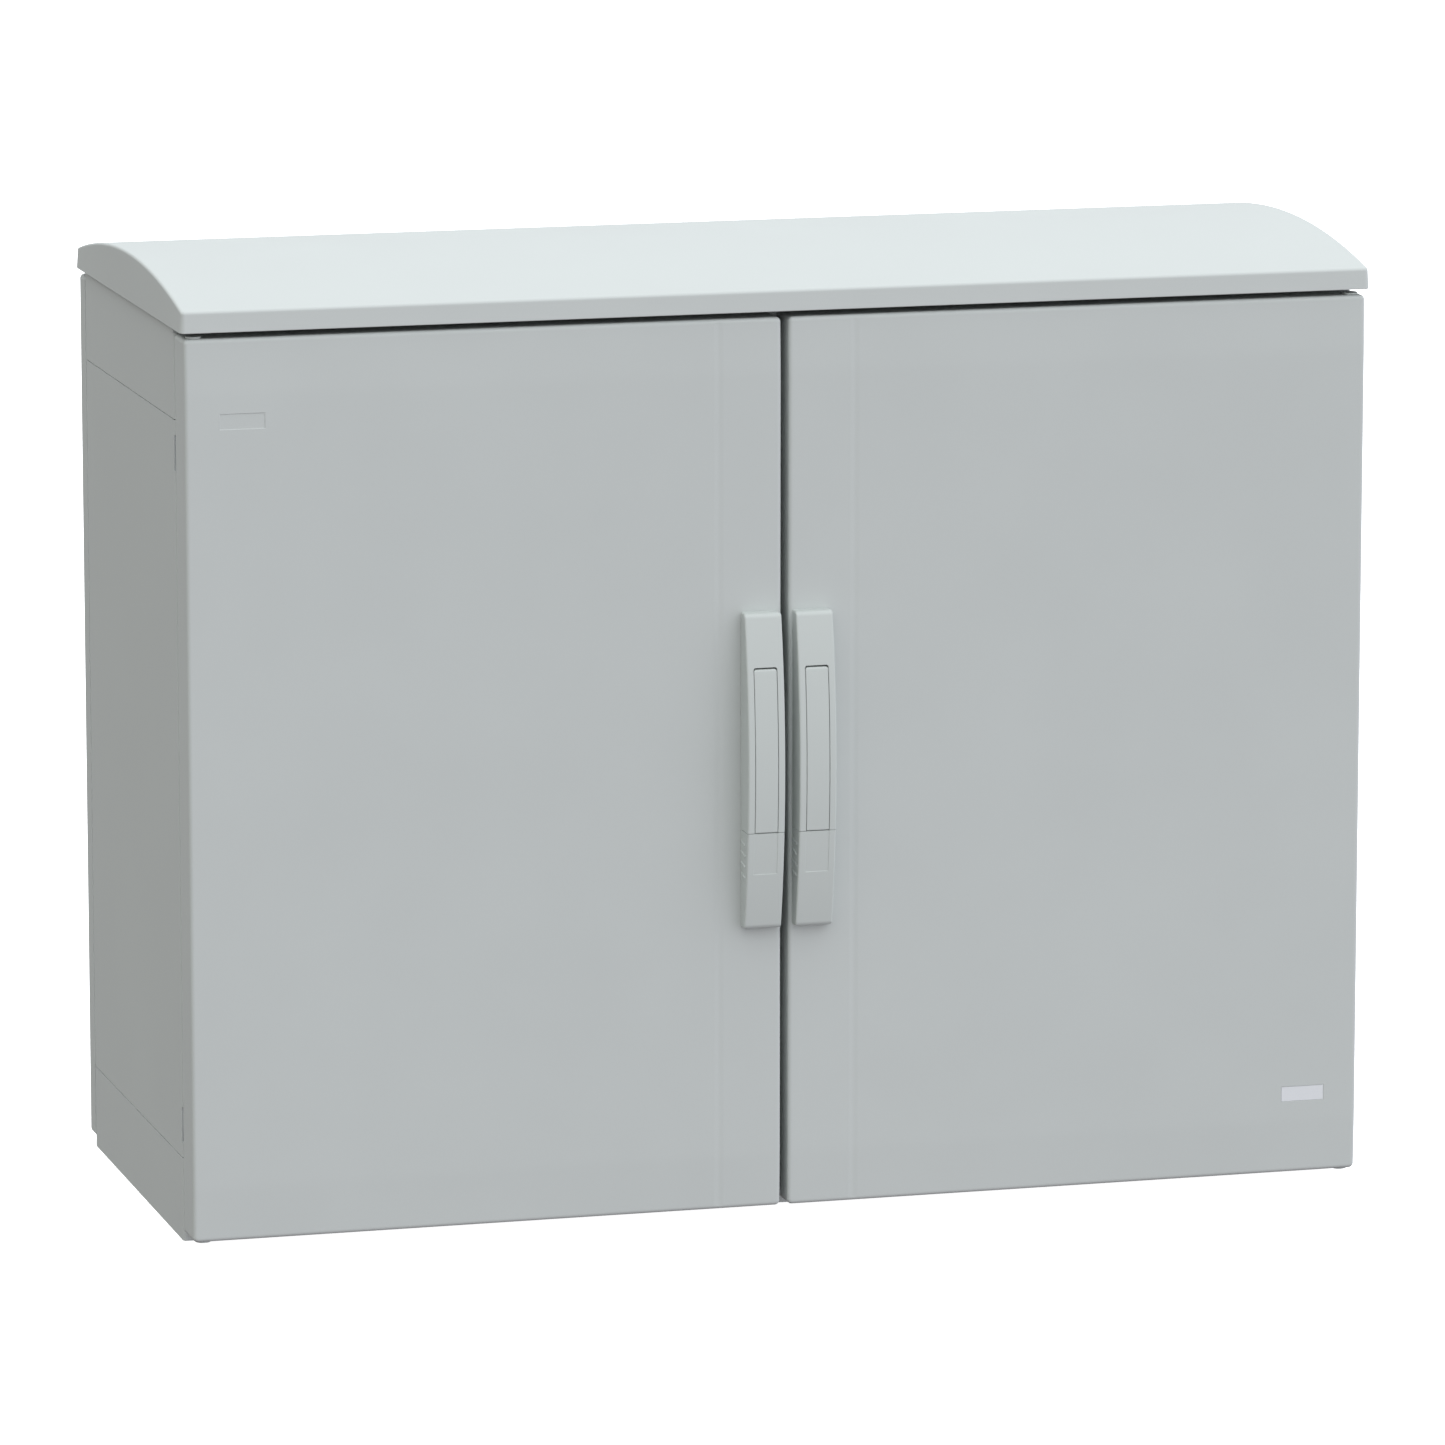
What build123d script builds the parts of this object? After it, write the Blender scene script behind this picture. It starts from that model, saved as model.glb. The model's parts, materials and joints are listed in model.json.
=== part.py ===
"""Two-door outdoor cabinet of moulded glass-fibre polyester, with a canopy roof.

Millimetres, +Z up, front towards -Y. The origin is the centre of the base
frame, on its underside.
"""
from build123d import *
from math import cos, radians, sin, sqrt, tan
import os

os.makedirs("parts", exist_ok=True)

# ---------------------------------------------------------------- cabinet body
width = 1000.0          # over the two side panels
height = 750.0          # base frame underside to top frame upper side
depth = 357.0           # base frame, front face to rear face
frame_h = 70.5          # height of the base frame and of the top frame
skin = 4.0              # moulded wall
joint_slot_h, joint_slot_d = 0.7, 1.5   # narrow slot that makes the visible joint line between mouldings
corner_r = 3.0          # upright corners of the frames
past = 1.0              # how far a cut runs past the surface it opens
frame_lip = 25.0        # inward flange where a frame meets a side panel
foot_lip = 45.0         # inward flange that stands on the ground
foot_t = 6.0            # its thickness
floor_hole_r = 7.0      # clearance hole for an M12 ground bolt
floor_hole_in = 28.0    # hole centre in from the outer faces

# ---------------------------------------------------------------- side panels
front_lip = 62.0        # inward flange that the door seal closes on
front_lip_t = 6.0       # its thickness
rear_lip = 30.0         # inward flange that carries the rear panel

# ---------------------------------------------------------------- doors
door_d = 36.5           # depth of the tray-shaped door
door_gap = 3.5          # door rim to frame
door_foot = 7.5         # door's lower edge above the ground
door_between = 6.5      # gap between the two doors
door_r = 4.0            # rounded corners, seen from the front
door_face_r = 3.0       # rounding from the front face to the rim
band_h = 45.0           # sloping band along the door's top and bottom
band_fall = 1.2         # how far a band leans back over its height
marker_w, marker_h, marker_d = 37.5, 13.0, 0.8   # shallow field for a marker plate
marker_side, marker_up = 28.4, 61.0   # field, in from outer edge and from the door's end
label_clear = 0.3       # label plate inside its field, each side
label_t = 0.6           # label plate

# ---------------------------------------------------------------- seal
seal_w = 10.0           # foam seal, across
seal_out = 48.0         # seal in from the door's outer edge
seal_in = 36.0          # seal in from the door's inner edge
seal_end = 18.0         # seal in from the door's top and bottom
seal_clear = 0.3        # relaxed seal to the frame it closes on
seal_bed = 4.0          # how deep the seal sits in its channel
channel_wall = 2.0      # channel wall each side of the seal
channel_top = 4.0       # channel edge below the door's rim
channel_clear = 0.1     # seal in its channel, each side

# ---------------------------------------------------------------- hinges
pivot_side = 10.0       # pin axis in from the cabinet's outer side
pivot_front = 11.5      # pin axis behind the door's front face
pin_r = 3.0
pin_clear = 0.05        # pin in the bracket, on the radius
pin_head_r, pin_head_h = 6.5, 1.5
knuckle_clear = 0.7     # knuckle to the door's side wall
hinge_screw_side = 18.0 # hinge screws in from the cabinet's side
bracket_side = 1.0      # bracket's foot in from the cabinet's side
bracket_h = 28.0
bracket_in = 13.0       # bracket's near edge from the frame joint
bracket_t = 5.0         # upright leg
arm_t, arm_drop = 4.0, 0.3   # arm thickness, and its rear face forward of the pin axis
leg_clear = 1.5         # leg to the circle that the door's rim sweeps
pocket_d = 2.5          # pocket in the side panel for the bracket's foot
pocket_clear = 0.5      # foot in its pocket, all round
lug_h, lug_clear = 7.0, 1.0   # pin lugs in the door, and their gap to the bracket

# ---------------------------------------------------------------- rear panel
rear_d = 22.3
boss_r = 11.0           # bosses for a mounting plate
boss_clear = 2.0        # boss end behind the panel's rim
insert_r, insert_hole_r, insert_l = 6.0, 3.4, 12.0
plate_hole_x, plate_hole_z = 850.0, 550.0   # mounting plate hole pattern
rear_face_r = 3.0       # rounded rear edges
rear_slot_h, rear_slot_d = 0.8, 2.0   # narrow slot between the rear panel and the frames
rim_block = 18.0        # screw blocks inside the rear panel's rim
rear_screw_rows = 4
rear_screw_l = 12.6     # screw length inside a block

# ---------------------------------------------------------------- centre post
post_w = 116.0
post_d = 30.0
post_bolt_in = 13.75    # bolts in from the frames' front face

# ---------------------------------------------------------------- canopy
canopy_lift = 5.0       # canopy's lower edge above the top frame
canopy_lap = 3.4        # beyond the side panels
canopy_front = 1.4      # beyond the doors' front faces
canopy_back = 1.9       # short of the rear panel's back
canopy_edge_h = 20.5    # lower edge to the start of the curved roof
canopy_rise = 20.0      # crown above that
canopy_draft = 3.0      # degrees that the fascia flares
under_canopy = 0.4      # top frame's raised sides to the canopy's lower edge
canopy_r, canopy_top_r = 3.0, 3.0
canopy_inner_ease = 0.5 # share of the wall taken off the radius inside
canopy_boss_r = 12.0
canopy_screw_l = 12.0   # screw length inside a boss
canopy_boss_in = 60.0   # boss centres in from the side panels and the frame's faces

# ---------------------------------------------------------------- bow handle
handle_w = 31.5
handle_edge = 2.9       # handle in from the door's inner edge
handle_low, handle_high = 244.9, 508.2
handle_end_d, handle_mid_d = 11.0, 24.0
handle_r = 2.5
handle_seam = 327.0     # joint between housing and lock cover
seam_clear = 0.3
lever_w, lever_h, lever_t = 19.2, 135.5, 4.0
lever_clear = 0.4       # lever to its pocket, each side and at the foot
lever_heel = 1.4        # gap over the lever's top
lever_floor = 3.5       # pocket floor below the lever's back
lever_pin_r, lever_pin_drop, lever_pin_in = 1.5, 4.5, 3.0
lever_pin_over = 2.0    # pin beyond the lever's pocket, each side
lever_nose_r = 2.4      # rounded upper end of the lever
cover_wall = 2.5
cover_clear = 0.3
cover_travel = 42.0
groove_d, groove_h = 1.5, 2.2
grip_ridges, grip_pitch, grip_out = 4, 9.0, 0.5
grip_first = 10.0       # first ridge below the seam
grip_l, grip_t, grip_tilt = 5.0, 1.2, 35.0
grip_stand = 8.25       # ridges in front of the door's face
field_w, field_h, field_d = 20.0, 35.0, 0.4   # plain shallow field on the lock cover
handle_screw_in = 20.0  # handle screws in from the handle's ends

# ---------------------------------------------------------------- lock and rods
lock_up = 60.0          # spindle above the handle's lower end
insert_body_r = 8.5
lock_clear = 0.05
neck_r, neck_floor = 6.0, 3.0
neck_hole_clear = 1.0   # neck in the door's hole
key_r, key_d, key_pin_r = 5.6, 8.0, 2.4
bit_w, bit_r = 1.6, 4.0
key_recess = 1.0        # key bit below the insert's face
square = 7.0            # spindle's square end
square_clear = 0.05
cam_r, cam_t = 11.0, 3.0
crank_r, crank_pin_r = 7.0, 2.0
crank_start = 45.0      # degrees below level at rest
yoke_clear = 0.3        # crank pin in its slot
rod_w, rod_t = 14.0, 3.0
rod_back = 14.0         # rod's rear face in front of the door rim's plane
rod_gap = 1.0           # cam to rod
yoke_in, yoke_out, yoke_down = 2.4, 12.0, 6.6
yoke_wall, yoke_root = 1.6, 4.0
neck_gap = 3.0          # rod's bar starts beyond the cam by this
keeper_w, keeper_h, keeper_wall = 24.0, 14.0, 2.5
keeper_foot = 8.0       # screw foot above and below a keeper
keeper_from_joint = 18.0     # keeper's inner edge beyond the frame joint
keeper_rest = 3.0       # retracted rod end short of its keeper
keeper_clear = 1.5
guide_h, guide_wall, guide_clear = 14.0, 3.0, 0.3
guide_from_lock, guide_from_end, guide_shift = 60.0, 25.0, 10.0

# ---------------------------------------------------------------- fasteners
bolt_r, bolt_head_r, bolt_head_h = 3.0, 5.5, 4.0
bolt_hole_clear = 0.2
screw_r, screw_head_r, screw_head_h = 2.0, 4.0, 2.4

# ---------------------------------------------------------------- worked out
front_y = -depth / 2
rear_y = depth / 2
side_x = width / 2
joint_low = frame_h
joint_high = height - frame_h
door_back = front_y - door_gap
door_face = door_back - door_d
door_low, door_high = door_foot, height
door_w = (width - door_between) / 2
door_in_x = door_between / 2
pivot_x = side_x - pivot_side
pivot_y = door_face + pivot_front
knuckle_r = pivot_side - skin - knuckle_clear
hinge_screw_x = side_x - hinge_screw_side
plate_back = door_face + skin + band_fall
rim_sweep = sqrt(pivot_side**2 + (door_back - pivot_y) ** 2)
leg_x = pivot_x - rim_sweep - leg_clear
handle_x = door_in_x + handle_edge + handle_w / 2
handle_mid = (handle_low + handle_high) / 2
lock_z = handle_low + lock_up
rod_rear = door_back - rod_back
rod_front = rod_rear - rod_t
cam_rear = rod_front - rod_gap
crank_stroke = 2 * crank_r * sin(radians(crank_start))
lever_top = handle_seam + lever_clear + lever_h
bracket_spans = (
    (joint_low + bracket_in, joint_low + bracket_in + bracket_h),
    (joint_high - bracket_in - bracket_h, joint_high - bracket_in),
)
print("rod stroke", round(crank_stroke, 3), "lock z", lock_z, "handle x", handle_x)


def block(x0, x1, y0, y1, z0, z1, mode=Mode.ADD):
    """A box between two corners, added to the part being built."""
    with Locations(((x0 + x1) / 2, (y0 + y1) / 2, (z0 + z1) / 2)):
        Box(abs(x1 - x0), abs(y1 - y0), abs(z1 - z0), mode=mode)


def rod_along_z(x, y, z0, z1, radius, mode=Mode.ADD):
    """An upright cylinder between two heights."""
    with Locations((x, y, (z0 + z1) / 2)):
        Cylinder(radius, abs(z1 - z0), mode=mode)


def rod_along_y(x, z, y0, y1, radius, mode=Mode.ADD):
    """A cylinder that runs front to back."""
    with Locations(Location((x, (y0 + y1) / 2, z), (90, 0, 0))):
        Cylinder(radius, abs(y1 - y0), mode=mode)


def rod_along_x(y, z, x0, x1, radius, mode=Mode.ADD):
    """A cylinder that runs across the cabinet."""
    with Locations(Location(((x0 + x1) / 2, y, z), (0, 90, 0))):
        Cylinder(radius, abs(x1 - x0), mode=mode)


def finish(part, name, color):
    """Label a finished piece and write it."""
    part.label = name
    part.color = Color(*color)
    export_step(part, f"parts/{name}.step")


polyester = (0.70, 0.73, 0.73)
steel = (0.62, 0.64, 0.66)
black = (0.10, 0.10, 0.11)
brass = (0.78, 0.62, 0.30)

# Places where mouldings are bolted together.
side_bolt_x = side_x - skin - (frame_lip - skin) / 2
side_bolt_y = [-depth / 3, 0, depth / 3]
post_bolt_x = post_w / 4
post_bolt_y = front_y + post_bolt_in
rear_screw_x = side_x - skin - rim_block / 2
rear_screw_z = [
    joint_low + (joint_high - joint_low) * (i + 0.5) / rear_screw_rows for i in range(rear_screw_rows)
]
canopy_boss_x = [-(side_x - canopy_boss_in), 0, side_x - canopy_boss_in]
canopy_boss_y = [front_y + canopy_boss_in, rear_y - canopy_boss_in]
keeper_spans = (
    (joint_high + keeper_from_joint, joint_high + keeper_from_joint + keeper_h),
    (joint_low - keeper_from_joint - keeper_h, joint_low - keeper_from_joint),
)
keeper_front = rod_front - keeper_clear - keeper_wall


def joint_slot(z0, z1):
    """Narrow slot around a frame where it meets the side panels."""
    with BuildPart(mode=Mode.PRIVATE) as slot:
        block(-side_x - past, side_x + past, front_y - past, rear_y + past, z0, z1)
        block(
            -side_x + joint_slot_d, side_x - joint_slot_d, front_y + joint_slot_d, rear_y - joint_slot_d,
            z0, z1, Mode.SUBTRACT,
        )
    add(slot.part, mode=Mode.SUBTRACT)


def frame_ring(z0, z1):
    """Outer block of a frame, with rounded uprights."""
    block(-side_x, side_x, front_y, rear_y, z0, z1)
    fillet(edges().filter_by(Axis.Z), corner_r)


def joint_holes(z0, z1):
    """Bolt holes that a frame's flange shares with the side panels and the post."""
    for x in (-side_bolt_x, side_bolt_x):
        for y in side_bolt_y:
            rod_along_z(x, y, z0, z1, bolt_r + bolt_hole_clear, Mode.SUBTRACT)
    for x in (-post_bolt_x, post_bolt_x):
        rod_along_z(x, post_bolt_y, z0, z1, bolt_r + bolt_hole_clear, Mode.SUBTRACT)


def keeper_holes(z0, z1):
    """Screw holes for the two rod keepers of a frame."""
    for x in (-handle_x, handle_x):
        for z in (z0 - keeper_foot / 2, z1 + keeper_foot / 2):
            rod_along_y(x, z, front_y, front_y + skin, screw_r, Mode.SUBTRACT)


# ================================================================ base frame
with BuildPart() as base_frame:
    frame_ring(0, frame_h)
    joint_slot(frame_h - joint_slot_h, frame_h)
    block(
        -side_x + skin, side_x - skin, front_y + skin, rear_y - skin,
        foot_t, frame_h - skin, Mode.SUBTRACT,
    )
    block(
        -side_x + foot_lip, side_x - foot_lip, front_y + foot_lip, rear_y - foot_lip,
        0, foot_t, Mode.SUBTRACT,
    )
    block(
        -side_x + frame_lip, side_x - frame_lip, front_y + frame_lip, rear_y - frame_lip,
        frame_h - skin, frame_h, Mode.SUBTRACT,
    )
    with Locations((0, 0, foot_t / 2)):
        with GridLocations(width - 2 * floor_hole_in, depth - 2 * floor_hole_in, 2, 2):
            Cylinder(floor_hole_r, foot_t, mode=Mode.SUBTRACT)
    joint_holes(frame_h - skin, frame_h)
    keeper_holes(*keeper_spans[1])
finish(base_frame.part, "base_frame", polyester)

# ================================================================ top frame
with BuildPart() as top_frame:
    frame_ring(joint_high, height)
    joint_slot(joint_high, joint_high + joint_slot_h)
    block(
        -side_x + skin, side_x - skin, front_y + skin, rear_y - skin,
        joint_high + skin, height - skin, Mode.SUBTRACT,
    )
    block(
        -side_x + frame_lip, side_x - frame_lip, front_y + frame_lip, rear_y - frame_lip,
        joint_high, joint_high + skin, Mode.SUBTRACT,
    )
    joint_holes(joint_high, joint_high + skin)
    keeper_holes(*keeper_spans[0])
    for x in (-side_x, side_x - skin):
        block(x, x + skin, front_y + corner_r, rear_y - corner_r, height, height + canopy_lift - under_canopy)
    for x in canopy_boss_x:
        for y in canopy_boss_y:
            rod_along_z(x, y, height - skin, height, bolt_r + bolt_hole_clear, Mode.SUBTRACT)
finish(top_frame.part, "top_frame", polyester)

# ================================================================ side panels
for side, hand in ((-1, "left"), (1, "right")):
    out_x = side * side_x
    with BuildPart() as side_panel:
        block(out_x, out_x - side * front_lip, front_y, rear_y, joint_low, joint_high)
        outer_uprights = edges().filter_by(Axis.Z).filter_by(lambda e: abs(e.center().X) > side_x - past)
        fillet(outer_uprights, corner_r)
        block(
            out_x - side * skin, out_x - side * (front_lip + past), front_y + front_lip_t, rear_y - skin,
            joint_low + skin, joint_high - skin, Mode.SUBTRACT,
        )
        block(
            out_x - side * rear_lip, out_x - side * (front_lip + past), front_y + front_lip_t, rear_y,
            joint_low, joint_high, Mode.SUBTRACT,
        )
        block(
            out_x - side * frame_lip, out_x - side * rear_lip, front_y + front_lip_t, rear_y - skin,
            joint_low, joint_high, Mode.SUBTRACT,
        )
        for low, high in bracket_spans:
            block(
                out_x, side * (leg_x - bracket_t - pocket_clear), front_y, front_y + pocket_d,
                low - pocket_clear, high + pocket_clear, Mode.SUBTRACT,
            )
            for z in (low + bracket_h / 4, high - bracket_h / 4):
                rod_along_y(side * hinge_screw_x, z, front_y, front_y + front_lip_t, screw_r, Mode.SUBTRACT)
        for y in side_bolt_y:
            rod_along_z(
                side * side_bolt_x, y, joint_low, joint_high, bolt_r + bolt_hole_clear, Mode.SUBTRACT
            )
        for z in rear_screw_z:
            rod_along_y(
                side * rear_screw_x, z, rear_y - skin, rear_y, bolt_r + bolt_hole_clear, Mode.SUBTRACT
            )
    finish(side_panel.part, f"{hand}_side_panel", polyester)

# ================================================================ centre post
with BuildPart() as centre_post:
    block(-post_w / 2, post_w / 2, front_y, front_y + post_d, joint_low, joint_high)
    block(
        -post_w / 2 + skin, post_w / 2 - skin, front_y + skin, front_y + post_d,
        joint_low + skin, joint_high - skin, Mode.SUBTRACT,
    )
    for x in (-post_bolt_x, post_bolt_x):
        rod_along_z(x, post_bolt_y, joint_low, joint_high, bolt_r + bolt_hole_clear, Mode.SUBTRACT)
finish(centre_post.part, "centre_post", polyester)


def bolt(x, y, z_joint, grip):
    """A bolt and nut through two flanges that meet at a height."""
    rod_along_z(x, y, z_joint - grip, z_joint + grip, bolt_r)
    for z0 in (z_joint - grip - bolt_head_h, z_joint + grip):
        with BuildSketch(Plane.XY.offset(z0)) as hexagon:
            with Locations((x, y)):
                RegularPolygon(bolt_head_r, 6)
        extrude(hexagon.sketch, amount=bolt_head_h)


# ================================================================ frame bolts
with BuildPart() as frame_bolts:
    for z in (joint_low, joint_high):
        for x in (-side_bolt_x, side_bolt_x):
            for y in side_bolt_y:
                bolt(x, y, z, skin)
finish(frame_bolts.part, "frame_bolts", steel)

with BuildPart() as post_bolts:
    for z in (joint_low, joint_high):
        for x in (-post_bolt_x, post_bolt_x):
            bolt(x, post_bolt_y, z, skin)
finish(post_bolts.part, "post_bolts", steel)

# ================================================================ rear panel
panel_back = rear_y + rear_d
boss_front = rear_y + boss_clear
with BuildPart() as rear_panel:
    block(-side_x, side_x, rear_y, panel_back, door_low, door_high)
    fillet(edges().filter_by(Axis.Y), door_r)
    fillet(faces().sort_by(Axis.Y)[-1].edges(), rear_face_r)
    block(
        -side_x + skin, side_x - skin, rear_y, panel_back - skin,
        door_low + skin, door_high - skin, Mode.SUBTRACT,
    )
    for x in (-side_x - past, side_x - rear_slot_d):
        for z0, z1 in ((door_low, joint_low), (joint_high, door_high)):
            block(x, x + rear_slot_d + past, rear_y, rear_y + rear_slot_h, z0, z1, Mode.SUBTRACT)
    for x in (-plate_hole_x / 2, plate_hole_x / 2):
        for z in (height / 2 - plate_hole_z / 2, height / 2 + plate_hole_z / 2):
            rod_along_y(x, z, boss_front, panel_back - skin, boss_r)
            rod_along_y(x, z, boss_front, boss_front + insert_l, insert_r, Mode.SUBTRACT)
    for side in (-1, 1):
        for z in rear_screw_z:
            block(
                side * (side_x - skin), side * (side_x - skin - rim_block), rear_y, panel_back - skin,
                z - rim_block / 2, z + rim_block / 2,
            )
            rod_along_y(side * rear_screw_x, z, rear_y, rear_y + rear_screw_l, bolt_r, Mode.SUBTRACT)
finish(rear_panel.part, "rear_panel", polyester)

with BuildPart() as rear_inserts:
    for x in (-plate_hole_x / 2, plate_hole_x / 2):
        for z in (height / 2 - plate_hole_z / 2, height / 2 + plate_hole_z / 2):
            rod_along_y(x, z, boss_front, boss_front + insert_l, insert_r)
            rod_along_y(x, z, boss_front, boss_front + insert_l, insert_hole_r, Mode.SUBTRACT)
finish(rear_inserts.part, "rear_inserts", brass)

with BuildPart() as rear_panel_screws:
    for side in (-1, 1):
        for z in rear_screw_z:
            rod_along_y(side * rear_screw_x, z, rear_y - skin, rear_y + rear_screw_l, bolt_r)
            rod_along_y(side * rear_screw_x, z, rear_y - skin - bolt_head_h, rear_y - skin, bolt_head_r)
finish(rear_panel_screws.part, "rear_panel_screws", steel)

# ================================================================ canopy
canopy_low = height + canopy_lift
canopy_y0 = door_face - canopy_front
canopy_y1 = panel_back - canopy_back
canopy_mid = (canopy_y0 + canopy_y1) / 2


def canopy_section(x, inset, z_low):
    """Closed outline of the canopy across its depth, drawn in from its outer surface."""
    half_y = (canopy_y1 - canopy_y0) / 2 - inset
    eave_z = canopy_low + canopy_edge_h - inset
    lean = (eave_z - canopy_low) * tan(radians(canopy_draft))
    with BuildSketch(Plane.YZ.offset(x), mode=Mode.PRIVATE) as outline:
        with BuildLine():
            Polyline(
                (canopy_mid - half_y + lean, eave_z), (canopy_mid - half_y, z_low),
                (canopy_mid + half_y, z_low), (canopy_mid + half_y - lean, eave_z),
            )
            ThreePointArc(
                (canopy_mid - half_y + lean, eave_z), (canopy_mid, eave_z + canopy_rise),
                (canopy_mid + half_y - lean, eave_z),
            )
        make_face()
        fillet(outline.vertices().group_by(Axis.Y)[-1], canopy_top_r - canopy_inner_ease * inset)
    return outline.sketch


def roof_z(y):
    """Height of the roof's outer surface above a line across the canopy."""
    half_y = (canopy_y1 - canopy_y0) / 2
    arc_r = (half_y**2 + canopy_rise**2) / (2 * canopy_rise)
    return canopy_low + canopy_edge_h + canopy_rise - arc_r + sqrt(arc_r**2 - (y - canopy_mid) ** 2)


canopy_end = side_x + canopy_lap
end_steps = 5
with BuildPart() as canopy:
    extrude(canopy_section(-(canopy_end - canopy_r), 0, canopy_low), amount=2 * (canopy_end - canopy_r))
    for side in (-1, 1):
        # the rounded ends: outlines that shrink along a quarter circle
        for step in range(end_steps):
            near, far = (radians(90 * (step + i) / end_steps) for i in (0, 1))
            outlines = []
            for turn in (near, far):
                end_x = canopy_end - canopy_r * (1 - sin(turn))
                outlines.append(canopy_section(side * end_x, canopy_r * (1 - cos(turn)), canopy_low))
            loft(outlines, ruled=True)
    inner_end = canopy_end - skin
    extrude(
        canopy_section(-inner_end, skin, canopy_low - past), amount=2 * inner_end, mode=Mode.SUBTRACT
    )
    for x in canopy_boss_x:
        for y in canopy_boss_y:
            rod_along_z(x, y, height, roof_z(y) - skin / 2, canopy_boss_r)
            rod_along_z(x, y, height, height + canopy_screw_l, bolt_r, Mode.SUBTRACT)
finish(canopy.part, "canopy", polyester)

with BuildPart() as canopy_screws:
    for x in canopy_boss_x:
        for y in canopy_boss_y:
            rod_along_z(x, y, height - skin, height + canopy_screw_l, bolt_r)
            rod_along_z(x, y, height - skin - bolt_head_h, height - skin, bolt_head_r)
finish(canopy_screws.part, "canopy_screws", steel)

# ================================================================ hinge brackets
arm_rear = pivot_y - arm_drop
for side, hand in ((-1, "left"), (1, "right")):
    with BuildPart() as hinge_brackets:
        for low, high in bracket_spans:
            block(
                side * (side_x - bracket_side), side * (leg_x - bracket_t),
                front_y, front_y + pocket_d, low, high,
            )
            block(side * leg_x, side * (leg_x - bracket_t), arm_rear - arm_t, front_y, low, high)
            block(side * pivot_x, side * (leg_x - bracket_t), arm_rear - arm_t, arm_rear, low, high)
            rod_along_z(side * pivot_x, pivot_y, low, high, knuckle_r)
            rod_along_z(side * pivot_x, pivot_y, low, high, pin_r + pin_clear, Mode.SUBTRACT)
            for z in (low + bracket_h / 4, high - bracket_h / 4):
                rod_along_y(side * hinge_screw_x, z, front_y, front_y + pocket_d, screw_r, Mode.SUBTRACT)
    finish(hinge_brackets.part, f"{hand}_hinge_brackets", steel)

    with BuildPart() as hinge_screws:
        for low, high in bracket_spans:
            for z in (low + bracket_h / 4, high - bracket_h / 4):
                rod_along_y(side * hinge_screw_x, z, front_y, front_y + front_lip_t, screw_r)
                rod_along_y(
                    side * hinge_screw_x, z, front_y + front_lip_t, front_y + front_lip_t + screw_head_h,
                    screw_head_r,
                )
    finish(hinge_screws.part, f"{hand}_hinge_screws", steel)

# ================================================================ rod keepers
with BuildPart() as rod_keepers:
    for x in (-handle_x, handle_x):
        for low, high in keeper_spans:
            block(x - keeper_w / 2, x + keeper_w / 2, keeper_front, front_y, low, high)
            block(
                x - keeper_w / 2, x + keeper_w / 2, front_y - keeper_wall, front_y,
                low - keeper_foot, high + keeper_foot,
            )
            block(
                x - rod_w / 2 - keeper_clear, x + rod_w / 2 + keeper_clear,
                rod_front - keeper_clear, front_y - keeper_wall, low, high, Mode.SUBTRACT,
            )
            for z in (low - keeper_foot / 2, high + keeper_foot / 2):
                rod_along_y(x, z, front_y - keeper_wall, front_y, screw_r, Mode.SUBTRACT)
finish(rod_keepers.part, "rod_keepers", steel)

with BuildPart() as keeper_screws:
    for x in (-handle_x, handle_x):
        for low, high in keeper_spans:
            for z in (low - keeper_foot / 2, high + keeper_foot / 2):
                foot = front_y - keeper_wall
                rod_along_y(x, z, foot, front_y + skin, screw_r)
                rod_along_y(x, z, foot - screw_head_h, foot, screw_head_r)
finish(keeper_screws.part, "keeper_screws", steel)


# ================================================================ doors
def bow(x_mid, w, shrink, round_off=0.0):
    """The handle's bowed outline as a solid, drawn in from its outer surface by shrink."""
    rise = handle_mid_d - handle_end_d
    end_y = door_face - handle_end_d + shrink
    mid_y = door_face - handle_mid_d + shrink
    low, high = handle_low + shrink, handle_high - shrink
    with BuildPart(mode=Mode.PRIVATE) as shape:
        with BuildSketch(Plane.YZ.offset(x_mid - w / 2)):
            with BuildLine():
                Polyline((end_y, high), (door_face, high), (door_face, low), (end_y, low))
                ThreePointArc((end_y, low), (mid_y, handle_mid), (end_y, high))
            make_face()
        extrude(amount=w)
        if round_off > 0:
            front_edges = edges().filter_by(lambda e: e.center().Y < door_face - handle_end_d / 2)
            fillet(front_edges, round_off)
    return shape.part


def bow_y(z):
    """Where the handle's front surface stands at a height."""
    half, rise = (handle_high - handle_low) / 2, handle_mid_d - handle_end_d
    arc_r = (half**2 + rise**2) / (2 * rise)
    return door_face - handle_mid_d + arc_r - sqrt(arc_r**2 - (z - handle_mid) ** 2)


def ring(x0, x1, y0, y1, z0, z1, wall):
    """An upright rectangular ring, as deep as y0 to y1."""
    block(x0, x1, y0, y1, z0, z1)
    step = wall if x1 > x0 else -wall
    block(x0 + step, x1 - step, y0, y1, z0 + wall, z1 - wall, Mode.SUBTRACT)


housing_floor = door_face - neck_floor
core_w = handle_w - 2 * (cover_wall + cover_clear)
core_shrink = cover_wall + cover_clear
handle_screw_z = (handle_low + handle_screw_in, handle_high - handle_screw_in)
lever_low = handle_seam + lever_clear
lever_pin_z = lever_top - lever_pin_drop
lever_back = lever_t + lever_floor
lever_pin_y = bow_y(lever_pin_z) + lever_pin_in
lock_face = bow_y(lock_z - insert_body_r) + core_shrink
top_end = keeper_spans[0][0] - keeper_rest
low_end = keeper_spans[1][1] + keeper_rest
guide_z = (
    (lock_z + guide_from_lock, (lock_z + top_end) / 2, top_end - guide_from_end),
    (lock_z - guide_from_lock, (lock_z + low_end) / 2 - guide_shift, low_end + guide_from_end),
)
low_pin_top = bracket_spans[0][1] + lug_clear + lug_h
high_pin_foot = bracket_spans[1][0] - lug_clear - lug_h
handle_out = door_face - 2 * handle_mid_d
beyond_low, beyond_high = handle_low - 2 * past, handle_high + 2 * past
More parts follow.
